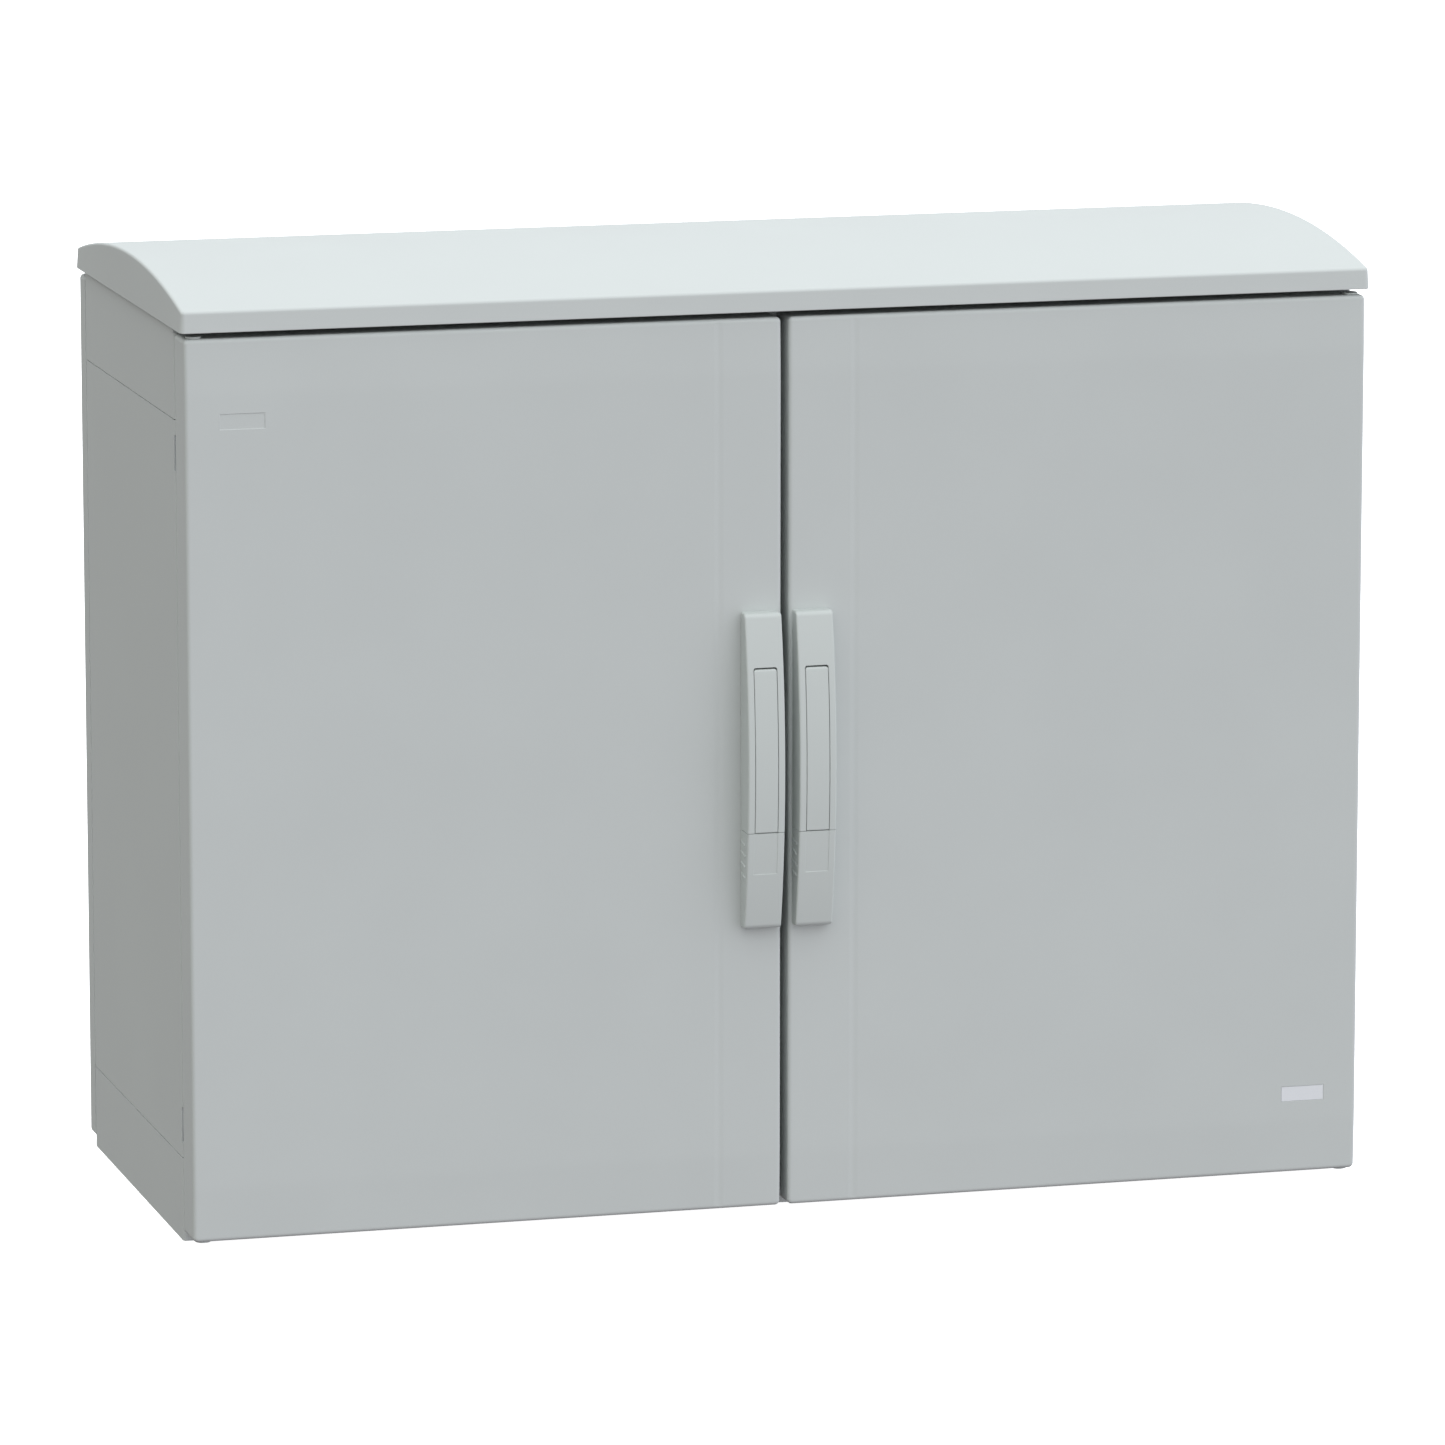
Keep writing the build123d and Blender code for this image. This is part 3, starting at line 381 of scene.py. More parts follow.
# %% The door's face as a depth function
band_height = 45 * mm
band_fall = 1.2 * mm
band_ease = 4 * mm
crease_half = 4.6 * mm
crease_depth = 0.35 * mm
empty_field_depth = 0.45 * mm
label_field_depth = 0.8 * mm
field_edge = 0.35 * mm
left_crease_x = door_x1 - 53 * mm
right_crease_x = -door_x1 + 56 * mm


def eased(distance, ease):
    """How far past a bend a point is, with the bend itself rounded off."""
    if distance <= -ease:
        return 0.0
    if distance >= ease:
        return distance
    return (distance + ease) ** 2 / (4 * ease)


def band_lean(z):
    """How far back the face leans at a height, in the bands at the door's top and foot."""
    past = max(door_z0 + band_height - z, z - (door_z1 - band_height))
    return band_fall / band_height * eased(past, band_ease)


def face_depth(side, crease_x, field):
    """Depth of the door's front face, towards the back, at any place on it."""
    fx0, fx1, fz0, fz1 = field
    deep = empty_field_depth if side < 0 else label_field_depth

    def depth(x, z):
        groove = max(0.0, 1 - abs(x - crease_x) / crease_half)
        inside = min(x - fx0, fx1 - x, z - fz0, fz1 - z)
        sunk = deep * min(1.0, max(0.0, inside / field_edge))
        crease = crease_depth * groove * groove * (3 - 2 * groove)
        return door_face_y + band_lean(z) + crease + sunk
    return depth


# %% Build the doors
def front_place(x, z, y):
    """A ring's point on an upright tray, whose depth runs to the back."""
    return (x, y, z)


def near(centre, *offsets):
    """Lines at some offsets from a centre."""
    return [centre + o for o in offsets]


rim_round = 0.8 * mm
face_round = 3 * mm
plate_y = door_face_y + wall + band_fall
field_w, field_h, field_side, field_up = 37.5 * mm, 13 * mm, 28.4 * mm, 61 * mm


def door_outline(side):
    """A door's outline with its grid lines, its crease and its field."""
    x0, x1 = (door_x0, door_x1) if side < 0 else (-door_x1, -door_x0)
    crease = left_crease_x if side < 0 else right_crease_x
    if side < 0:
        field = (x0 + field_side, x0 + field_side + field_w,
                 door_z1 - field_up - field_h, door_z1 - field_up)
    else:
        field = (x1 - field_side - field_w, x1 - field_side,
                 door_z0 + field_up, door_z0 + field_up + field_h)
    fx0, fx1, fz0, fz1 = field
    steps = (0, 0.1 * mm, field_edge - 0.1 * mm, field_edge)
    extra_x = near(crease, *[k * crease_half / 4 for k in range(-4, 5)])
    extra_x += near(fx0, *steps) + near(fx1, *[-s for s in steps])
    eases = [k * band_ease / 2 for k in range(-2, 3)]
    extra_z = near(door_z0 + band_height, *eases) + near(door_z1 - band_height, *eases)
    extra_z += near(fz0, *steps) + near(fz1, *[-s for s in steps])
    us = spread(x0 + door_corner, x1 - door_corner, 16, extra_x)
    vs = spread(door_z0 + door_corner, door_z1 - door_corner, 18, extra_z)
    return (x0, x1, door_z0, door_z1, door_corner, us, vs, front_place), crease, field


def channel_walls(bm, side, x0, x1):
    """The raised channel on the door's back that holds its seal."""
    out_in, in_in, end_in, thick, tall = 46 * mm, 34 * mm, 16 * mm, 2 * mm, 4 * mm
    groove = 10.2 * mm
    a0, a1 = (x0 + out_in, x1 - in_in) if side < 0 else (x0 + in_in, x1 - out_in)
    z0, z1 = door_z0 + end_in, door_z1 - end_in
    corner = 15 * mm
    outline = (a0, a1, z0, z1, corner, spread(a0 + corner, a1 - corner, 4),
               spread(z0 + corner, z1 - corner, 4), front_place)
    top, bed = door_back_y - tall, door_back_y - 2 * tall
    lip, soft = thick - 0.1 * mm, 0.4 * mm
    far, end = lip + groove, 2 * lip + groove
    rows = [(0, plate_y - mm), (0, top - soft), (soft, top)]
    rows += [(lip - soft, top), (lip, top - soft), (lip, bed)]
    rows += [(far, bed), (far, top - soft), (far + soft, top)]
    rows += [(end - soft, top), (end, top - soft), (end, plate_y - mm)]
    join_rings(bm, outline, rows, closed=True)


def rounded_block(bm, low, high, bevel, segments=2):
    """A box between two corners with rounded edges."""
    size = [h - l for l, h in zip(low, high)]
    middle = [(h + l) / 2 for l, h in zip(low, high)]
    matrix = Matrix.Translation(middle) @ Matrix.Diagonal((*size, 1))
    made = bmesh.ops.create_cube(bm, size=1.0, matrix=matrix)
    edges = list({e for v in made["verts"] for e in v.link_edges})
    bmesh.ops.bevel(bm, geom=edges, offset=bevel, segments=segments, profile=0.5, affect="EDGES")


bracket_lows = (83.5 * mm, 638.5 * mm)
bracket_high = 28 * mm
pivot_y = door_face_y + 11.5 * mm
lug_half, lug_high, lug_round = 6 * mm, 7 * mm, 0.6 * mm


def hinge_lugs(bm, side):
    """Four solid lugs inside the door's outer wall, where the hinge pins run through."""
    outer = half_width - wall + 0.5 * mm
    x0, x1 = sorted((side * outer, side * (pin_x - lug_half)))
    for low in bracket_lows:
        for z0 in (low - mm - lug_high, low + bracket_high + mm):
            lug_end = (x1, pivot_y + lug_half, z0 + lug_high)
            rounded_block(bm, (x0, plate_y - mm, z0), lug_end, lug_round)


def build_door(side, hand):
    """The left door is on side -1 and the right door on side 1."""
    outline, crease, field = door_outline(side)
    front = face_depth(side, crease, field)
    edge = lambda x, z: door_face_y + band_lean(z)
    rows = [(door_corner, front)]
    for inset, depth in quarter(0, 0, face_round, face_round)[::-1]:
        rows.append((inset, lambda x, z, d=depth: edge(x, z) + face_round - d))
    rows.append((0, door_back_y - rim_round))
    rows += quarter(0, door_back_y - rim_round, rim_round, rim_round, 3)[1:]
    rows += quarter(wall - rim_round, door_back_y, rim_round, -rim_round, 3, first_in=True)
    rows += [(door_corner, plate_y)]
    bm = bmesh.new()
    cap_grid(bm, outline, front)
    join_rings(bm, outline, rows)
    cap_grid(bm, outline, lambda x, z: plate_y)
    channel_walls(bm, side, outline[0], outline[1])
    hinge_lugs(bm, side)
    install(object_of(f"{hand}_door_skin", mesh_from(f"{hand}_door_skin", bm)), f"{hand}_door")


sides = ((-1, "left"), (1, "right"))
for side, hand in sides:
    build_door(side, hand)


# %% [markdown]
# ## Canopy
# The canopy is a tray turned over: a shallow arch from front to back, a fascia that flares
# four degrees towards its foot, and a soft edge between them. The same rings draw it, with
# the arc added to the height of every row above the fascia.

# %% Canopy
can_low, can_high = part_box("canopy")
can_foot = can_low[2] + 5 * mm
can_rise, can_edge = 22.7 * mm, 17 * mm
can_mid_y = (can_low[1] + can_high[1]) / 2
can_half = (can_high[1] - can_low[1]) / 2
can_arc = (can_half ** 2 + can_rise ** 2) / (2 * can_rise)
can_corner, can_soft, can_lip, can_nick = 4.5 * mm, 2.2 * mm, 0.5 * mm, 0.2 * mm
can_lean = tan(radians(4.0))
boss_radius = 12 * mm
boss_places = [(x, y) for x in (-440 * mm, 0, 440 * mm) for y in (-118.5 * mm, 118.5 * mm)]


def roof_height(y, drop=0.0):
    """Height of the roof's outer skin, or of a skin that far below it."""
    reach = min(abs(y - can_mid_y), can_half)
    return can_foot + can_edge + can_rise - can_arc - drop + sqrt(can_arc ** 2 - reach ** 2)


def roof_place(x, y, z):
    """A ring's point on a level tray, whose depth is its height."""
    return (x, y, z)


def build_canopy():
    """The arched shell with the six bosses that its screws go into."""
    x0, x1, y0, y1 = can_low[0], can_high[0], can_low[1], can_high[1]
    outline = (x0, x1, y0, y1, can_corner, spread(x0 + can_corner, x1 - can_corner, 24),
               spread(y0 + can_corner, y1 - can_corner, 40), roof_place)
    top = lambda x, y: roof_height(y)
    under = lambda x, y: roof_height(y, wall)
    rows = [(can_corner, top)]
    start = (can_edge - can_soft) * can_lean
    for i in range(6, -1, -1):
        turn = radians(90 * i / 6)
        rows.append((start + can_soft * (1 - cos(turn)),
                     lambda x, y, s=sin(turn): roof_height(y) - can_soft + can_soft * s))
    nick_z, lip_z = can_foot + can_nick, can_foot + can_lip
    rows += [(can_lip * can_lean, lip_z), (can_lip - can_nick, nick_z), (can_lip, can_foot)]
    rows += [(wall - can_lip, can_foot), (wall - can_nick, nick_z), (wall, lip_z)]
    rows += [(wall + 0.8 * mm, lambda x, y: roof_height(y, wall) - wall), (can_corner, under)]
    bm = bmesh.new()
    cap_grid(bm, outline, top)
    join_rings(bm, outline, rows)
    cap_grid(bm, outline, under)
    for x, y in boss_places:
        foot, head = can_low[2], roof_height(y) - wall / 2
        matrix = Matrix.Translation((x, y, (foot + head) / 2))
        bmesh.ops.create_cone(bm, cap_ends=True, segments=40, radius1=boss_radius,
                              radius2=boss_radius, depth=head - foot, matrix=matrix)
    install(object_of("canopy_shell", mesh_from("canopy_shell", bm)), "canopy")


build_canopy()


# %% [markdown]
# ## Bow handles
# A handle is one bowed bar, split across at the lock: the upper part is fixed and holds a
# pull lever in a pocket, and the lower part is a cover that slides down off the lock. Each
# is drawn as level slices stacked along the bow, so the bow, the soft edges, the pocket and
# the hollow are all numbers that change from slice to slice.

# %% Handle sizes
grip_low, grip_high = 244.9 * mm, 508.2 * mm
grip_mid = (grip_low + grip_high) / 2
grip_half = 15.75 * mm
grip_end, grip_rise = 11 * mm, 13 * mm
grip_arc = (((grip_high - grip_low) / 2) ** 2 + grip_rise ** 2) / (2 * grip_rise)
seam_z = 327.0 * mm
lock_z = 304.9 * mm
side_round, corner_round, end_reach = 1.5 * mm, 1.8 * mm, 3.6 * mm
shell_wall, cover_gap, seam_ease = 2.5 * mm, 0.3 * mm, 0.25 * mm
core_round, core_foot, core_ease = 1.2 * mm, 1.5 * mm, 0.5 * mm
bore_radius, bore_length, bore_middle = 8.6 * mm, 26 * mm, 16 * mm
lever_half, lever_foot, lever_head, lever_thick = 9.6 * mm, 327.4 * mm, 462.9 * mm, 4 * mm
lever_soft, lever_nose = 0.5 * mm, 2.4 * mm
pocket_half, pocket_head, pocket_deep = 10 * mm, 464.3 * mm, 7.5 * mm
pocket_corner = 2 * mm
ridge_back, ridge_down = 8.25 * mm, 10 * mm
screw_in = 20 * mm
slice_pitch, tiny, handle_sharp = 5 * mm, 0.02 * mm, 28
fine_turns, coarse_turns = (0, 15, 30, 45, 60, 75, 90), (0, 30, 60, 90)
grip_x = (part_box("left_handle_housing")[0][0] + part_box("left_handle_housing")[1][0]) / 2
print("left handle centre", round(grip_x / mm, 2), "mm")


def bow_front(z):
    """Where the bow's front stands at a height."""
    return door_face_y - grip_end - grip_rise + grip_arc - sqrt(grip_arc ** 2 - (z - grip_mid) ** 2)


def end_round(z, low, high, radius):
    """How far a slice is drawn in by a rounded end."""
    gap = min(z - low, high - z)
    if gap >= radius:
        return 0.0
    return radius - sqrt(max(0.0, radius ** 2 - (radius - gap) ** 2))


def round_heights(end, reach, turns):
    """Heights of the slices that follow a rounded end, up to the end or, below 0, down to it."""
    return [end - reach * (1 - cos(radians(a))) for a in turns]


# %% Slices of a bow
def slice_points(x, half, front, back, radius, notch=(0, 0), hollow=(0, 0), foot=0.0):
    """A level slice: up one side, across the front past a notch, and back past a hollow."""
    points = [(-half + foot, back), (-half + foot, back - foot), (-half, back - foot - 0.01 * mm)]
    for i in range(7):
        turn = radians(180 + 15 * i)
        points.append((-half + radius + radius * cos(turn), front + radius + radius * sin(turn)))
    notch_half, notch_deep = notch
    soft = min(0.35 * mm, notch_deep)
    points += [(-notch_half - soft, front), (-notch_half - 0.3 * soft, front + 0.3 * soft),
               (-notch_half, front + soft), (-notch_half, front + notch_deep)]
    mirrored = [(-u, v) for u, v in reversed(points)]
    points += mirrored
    hollow_half, hollow_front = hollow
    if hollow_half:
        points += [(hollow_half, back), (hollow_half, hollow_front),
                   (-hollow_half, hollow_front), (-hollow_half, back)]
    return [(x + u, v) for u, v in points]


def stack(bm, slices):
    """Faces between level slices, and a lid on each end. slices are (z, points) pairs."""
    rings = [[bm.verts.new((u, v, z)) for u, v in points] for z, points in slices]
    count = len(rings[0])
    for low, high in zip(rings, rings[1:]):
        for i in range(count):
            j = (i + 1) % count
            bm.faces.new((low[i], low[j], high[j], high[i]))
    for ring in (rings[0], rings[-1]):
        bm.faces.new(ring)


def heights(low, high, pitch, extra=()):
    """Evenly spaced slices, with extra ones where the bow changes."""
    count = max(2, round((high - low) / pitch))
    even = [low + (high - low) * i / count for i in range(count + 1)]
    kept = [z for z in even if z in (low, high) or all(abs(z - e) > 0.25 * pitch for e in extra)]
    return sorted(set(kept) | {e for e in extra if low <= e <= high})


def ramped(z, start, length):
    """0 below start, 1 beyond start + length, straight between."""
    return min(1.0, max(0.0, (z - start) / length))


# %% Fixed part of the handle
def pocket_width(z, half, head):
    """Half width of a pocket or lever whose top corners are rounded, seen from the front."""
    return half - end_round(z, 0, head, pocket_corner)


def build_housing(x):
    """The upper bow, with the lever's pocket in its front."""
    rounds = round_heights(grip_high, end_reach, fine_turns)
    corners = round_heights(pocket_head, pocket_corner, coarse_turns)
    extra = rounds + corners + [pocket_head + tiny, seam_z + seam_ease]
    slices = []
    for z in heights(seam_z, grip_high, slice_pitch, extra):
        eased_end = seam_ease if z == seam_z else 0.0
        half = grip_half - end_round(z, -1, grip_high, corner_round) - eased_end
        front = bow_front(z) + end_round(z, -1, grip_high, end_reach) + eased_end
        deep = pocket_deep if z <= pocket_head else 0.0
        notch = (pocket_width(min(z, pocket_head), pocket_half, pocket_head), deep)
        points = slice_points(x, half, front, door_face_y, side_round, notch, foot=0.3 * mm)
        slices.append((z, points))
    bm = bmesh.new()
    stack(bm, slices)
    return object_of("part", mesh_from("part", bm, handle_sharp))


def build_core(x):
    """The narrow block below the seam that the cover slides over, bored for the lock."""
    bm = bmesh.new()
    slices = []
    inset = shell_wall + cover_gap
    low = grip_low + end_reach + cover_gap
    for z in heights(low, seam_z + core_ease, 6 * mm, [low + core_ease]):
        drawn = core_ease if z == low else 0.0
        half, front = grip_half - inset - drawn, bow_front(z) + inset + drawn
        points = slice_points(x, half, front, door_face_y, core_round, foot=core_foot)
        slices.append((z, points))
    stack(bm, slices)
    core = object_of("core", mesh_from("core", bm, handle_sharp))
    drill = bmesh.new()
    middle = Matrix.Translation((x, door_face_y - bore_middle, lock_z))
    bmesh.ops.create_cone(drill, cap_ends=True, segments=64, radius1=bore_radius,
                          radius2=bore_radius, depth=bore_length,
                          matrix=middle @ Matrix.Rotation(radians(90), 4, "X"))
    cutter = object_of("drill", mesh_from("drill", drill, handle_sharp))
    cut = core.modifiers.new("bore", "BOOLEAN")
    cut.operation, cut.solver, cut.object = "DIFFERENCE", "EXACT", cutter
    baked(core)
    bpy.data.objects.remove(cutter)
    return core


def merged(name, first, *others):
    """Join finished meshes into the first piece."""
    bm = bmesh.new()
    for piece in (first, *others):
        bm.from_mesh(piece.data)
    mesh = bpy.data.meshes.new(name)
    bm.to_mesh(mesh)
    bm.free()
    for piece in others:
        bpy.data.objects.remove(piece)
    first.data = mesh
    first.name = name
    mesh.polygons.foreach_set("use_smooth", [True] * len(mesh.polygons))
    mesh.set_sharp_from_angle(angle=radians(handle_sharp))
    return first


# %% Pull lever
def build_lever(x, hand):
    """The bar in the pocket, which follows the bow and has a softened head."""
    corners = round_heights(lever_head, pocket_corner, fine_turns)
    slices = []
    for z in heights(lever_foot, lever_head, slice_pitch, corners + [lever_foot + lever_soft]):
        drawn = end_round(z, lever_foot, lever_head + 1, lever_soft)
        half = pocket_width(z, lever_half, lever_head) - drawn
        front = bow_front(z) + drawn
        back = bow_front(z) + lever_thick
        if z > lever_head - lever_nose:
            front += end_round(z, -1, lever_head, lever_nose) * 0.5
        slices.append((z, slice_points(x, half, front, back, 0.6 * mm, foot=0.3 * mm)))
    bm = bmesh.new()
    stack(bm, slices)
    return object_of(f"{hand}_pull_bar", mesh_from(f"{hand}_pull_bar", bm, handle_sharp))


# %% [markdown]
# ## Grip ridges
# Four short slanted ridges on each flank of the cover help a thumb to push it down. One
# ridge is made and set out on a line of points, which is what Geometry Nodes are for.

# %% Start a Geometry Nodes tree
def geometry_tree(name, inputs):
    """A tree with a geometry in and out and named inputs: (name, socket kind, start value)."""
    tree = bpy.data.node_groups.new(name, "GeometryNodeTree")
    tree.interface.new_socket("Geometry", in_out="INPUT", socket_type="NodeSocketGeometry")
    for label, kind, value in inputs:
        socket = tree.interface.new_socket(label, in_out="INPUT", socket_type=kind)
        socket.default_value = value
    tree.interface.new_socket("Geometry", in_out="OUTPUT", socket_type="NodeSocketGeometry")
    start = tree.nodes.new("NodeGroupInput")
    end = tree.nodes.new("NodeGroupOutput")
    return tree, start.outputs, end


def grown(piece, tree, values, material):
    """Run a tree on a piece, with its named inputs set, and keep the plain mesh."""
    modifier = piece.modifiers.new("shape", "NODES")
    modifier.node_group = tree
    for item in tree.interface.items_tree:
        if item.in_out == "INPUT" and item.name in values:
            modifier[item.identifier] = values[item.name]
    baked(piece)
    piece.data.materials.clear()
    piece.data.materials.append(material)
    return piece


def close_tree(tree, end, geometry, material):
    """Every tree ends the same way: real geometry, then its material."""
    real = add(tree, "GeometryNodeRealizeInstances", links={"Geometry": geometry})
    painted = add(tree, "GeometryNodeSetMaterial", links={"Geometry": real.outputs["Geometry"]})
    painted.inputs["Material"].default_value = material
    tree.links.new(painted.outputs["Geometry"], end.inputs["Geometry"])
    return tree


# %% A tree that sets ridges in a row
def ridge_tree(material):
    tree, given, end = geometry_tree("grip ridges", [
        ("Ridges", "NodeSocketInt", 4), ("Pitch", "NodeSocketFloat", 9 * mm),
        ("Start", "NodeSocketVector", (0, 0, 0)), ("Length", "NodeSocketFloat", 12 * mm),
        ("Thickness", "NodeSocketFloat", 1.5 * mm), ("Tilt", "NodeSocketFloat", radians(16)),
    ])
    down = add(tree, "ShaderNodeMath", {1: -1.0}, {0: given["Pitch"]}, operation="MULTIPLY")
    step = add(tree, "ShaderNodeCombineXYZ", links={"Z": down.outputs[0]})
    line = add(tree, "GeometryNodeMeshLine", links={
        "Count": given["Ridges"], "Start Location": given["Start"], "Offset": step.outputs[0],
    })
    half = add(tree, "ShaderNodeMath", {1: 0.5}, {0: given["Thickness"]}, operation="MULTIPLY")
    bar = add(tree, "GeometryNodeMeshCylinder", {"Vertices": 12},
              {"Radius": half.outputs[0], "Depth": given["Length"]})
    lean = add(tree, "ShaderNodeMath", {1: radians(90)}, {0: given["Tilt"]}, operation="ADD")
    turn = add(tree, "ShaderNodeCombineXYZ", links={"X": lean.outputs[0]})
    set_out = add(tree, "GeometryNodeInstanceOnPoints", links={
        "Points": line.outputs["Mesh"], "Instance": bar.outputs["Mesh"],
        "Rotation": turn.outputs[0],
    })
    return close_tree(tree, end, set_out.outputs["Instances"], material)


ridges = ridge_tree(finishes["handle_polyamide"])


def build_ridges(x):
    """A row of ridges on each flank of the cover."""
    both = []
    for flank in (-1, 1):
        line = object_of("ridge line", bpy.data.meshes.new("ridge line"))
        start = (x + flank * grip_half, door_face_y - ridge_back, seam_z - ridge_down)
        both.append(grown(line, ridges, {"Start": start}, finishes["handle_polyamide"]))
    return both


# %% Sliding lock cover
def build_cover(x, hand):
    """The lower end of the bow: a hollow cap with a plain shallow field on its front."""
    top = seam_z - cover_gap
    field_low, field_half = seam_z - 35 * mm, 9.8 * mm
    field_sunk, field_step = 0.4 * mm, 0.3 * mm
    floor = grip_low + end_reach
    extra = round_heights(grip_low, -end_reach, fine_turns)
    extra += [floor, floor + tiny, field_low, field_low + field_step, top - seam_ease]
    slices = []
    for z in heights(grip_low, top, slice_pitch, extra):
        eased_end = seam_ease if z == top else 0.0
        half = grip_half - end_round(z, grip_low, 1, corner_round) - eased_end
        front = bow_front(z) + end_round(z, grip_low, 1, end_reach) + eased_end
        sunk = field_sunk * ramped(z, field_low, field_step)
        inner = bow_front(z) + shell_wall if z > floor else door_face_y
        slices.append((z, slice_points(x, half, front, door_face_y, side_round, (field_half, sunk),
                                       (grip_half - shell_wall, inner), foot=0.15 * mm)))
    bm = bmesh.new()
    stack(bm, slices)
    cover = object_of("cap", mesh_from("cap", bm, handle_sharp))
    return merged(f"{hand}_sliding_cap", cover, *build_ridges(x))


for side, hand in sides:
    x = -side * grip_x
    housing = merged(f"{hand}_bow_grip", build_housing(x), build_core(x))
    install(housing, f"{hand}_handle_housing")
    install(build_lever(x, hand), f"{hand}_pull_lever")
    install(build_cover(x, hand), f"{hand}_lock_cover")


# %% [markdown]
# ## Seals
# A seal is a soft strip with a domed top that sits in the door's channel and is squeezed
# against the frame. It is one closed section carried around a rounded rectangle.

# %% Door seals
round_sharp = 50


def build_seal(hand):
    """One door's seal, from its bed in the channel to its domed crown."""
    low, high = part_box(f"{hand}_door_seal")
    corner, wide, dome_steps = 13 * mm, 10 * mm, 12
    x0, x1, z0, z1 = low[0], high[0], low[2], high[2]
    outline = (x0, x1, z0, z1, corner, spread(x0 + corner, x1 - corner, 12),
               spread(z0 + corner, z1 - corner, 16), front_place)
    bed, crown = low[1], high[1]
    shoulder = bed + 5 * mm
    rows = [(0, bed), (0, shoulder)]
    for i in range(1, dome_steps):
        turn = radians(180 * i / dome_steps)
        rows.append((wide / 2 * (1 - cos(turn)), shoulder + (crown - shoulder) * sin(turn)))
    rows += [(wide, shoulder), (wide, bed)]
    bm = bmesh.new()
    join_rings(bm, outline, rows, closed=True)
    mesh = mesh_from(f"{hand}_seal_strip", bm, round_sharp)
    install(object_of(f"{hand}_seal_strip", mesh), f"{hand}_door_seal")


for side, hand in sides:
    build_seal(hand)


# %% [markdown]
# ## Turned pieces
# Pins and caps come off a lathe, so each is a profile of radius against height, turned
# round its own line.

# %% Turn a profile
def turned(bm, centre, profile, segments=32):
    """Revolve (radius, height) pairs about an upright line, closed at both ends."""
    rings = []
    for radius, height in profile:
        rings.append([
            bm.verts.new((centre[0] + radius * cos(2 * pi * i / segments),
                          centre[1] + radius * sin(2 * pi * i / segments), height))
            for i in range(segments)
        ])
    for low, high in zip(rings, rings[1:]):
        for i in range(segments):
            j = (i + 1) % segments
            bm.faces.new((low[i], low[j], high[j], high[i]))
    bm.faces.new(rings[0])
    bm.faces.new(rings[-1])


# %% Hinge pins with their caps
def build_pins(side, hand):
    """A lower and an upper pin, each with a cap outside the door."""
    low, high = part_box(f"{hand}_hinge_pins")
    foot, head = low[2], high[2]
    centre = (side * pin_x, pivot_y)
    pin, cap, brim, nick = 3 * mm, 6.5 * mm, 0.5 * mm, 0.15 * mm
    low_top, high_foot = 119.5 * mm, 630.5 * mm
    bm = bmesh.new()
    turned(bm, centre, [
        (cap - brim, foot), (cap - nick, foot + nick), (cap, foot + brim), (cap, door_z0),
        (pin, door_z0), (pin, low_top - brim), (pin - brim, low_top),
    ])
    turned(bm, centre, [
        (pin - brim, high_foot), (pin, high_foot + brim), (pin, door_z1), (cap, door_z1),
        (cap, head - brim), (cap - nick, head - nick), (cap - brim, head),
    ])
    mesh = mesh_from(f"{hand}_pin_pair", bm, round_sharp)
    install(object_of(f"{hand}_pin_pair", mesh), f"{hand}_hinge_pins")


for side, hand in sides:
    build_pins(side, hand)


# %% [markdown]
# ## Screws and bolts
# Fifty screws and bolts hold this cabinet together. One tree builds a screw from its sizes,
# with a washer, a flat-sided or round head and a tapered top, and puts one on each point of a
# mesh, turned to the way that the point's own "aim" says.

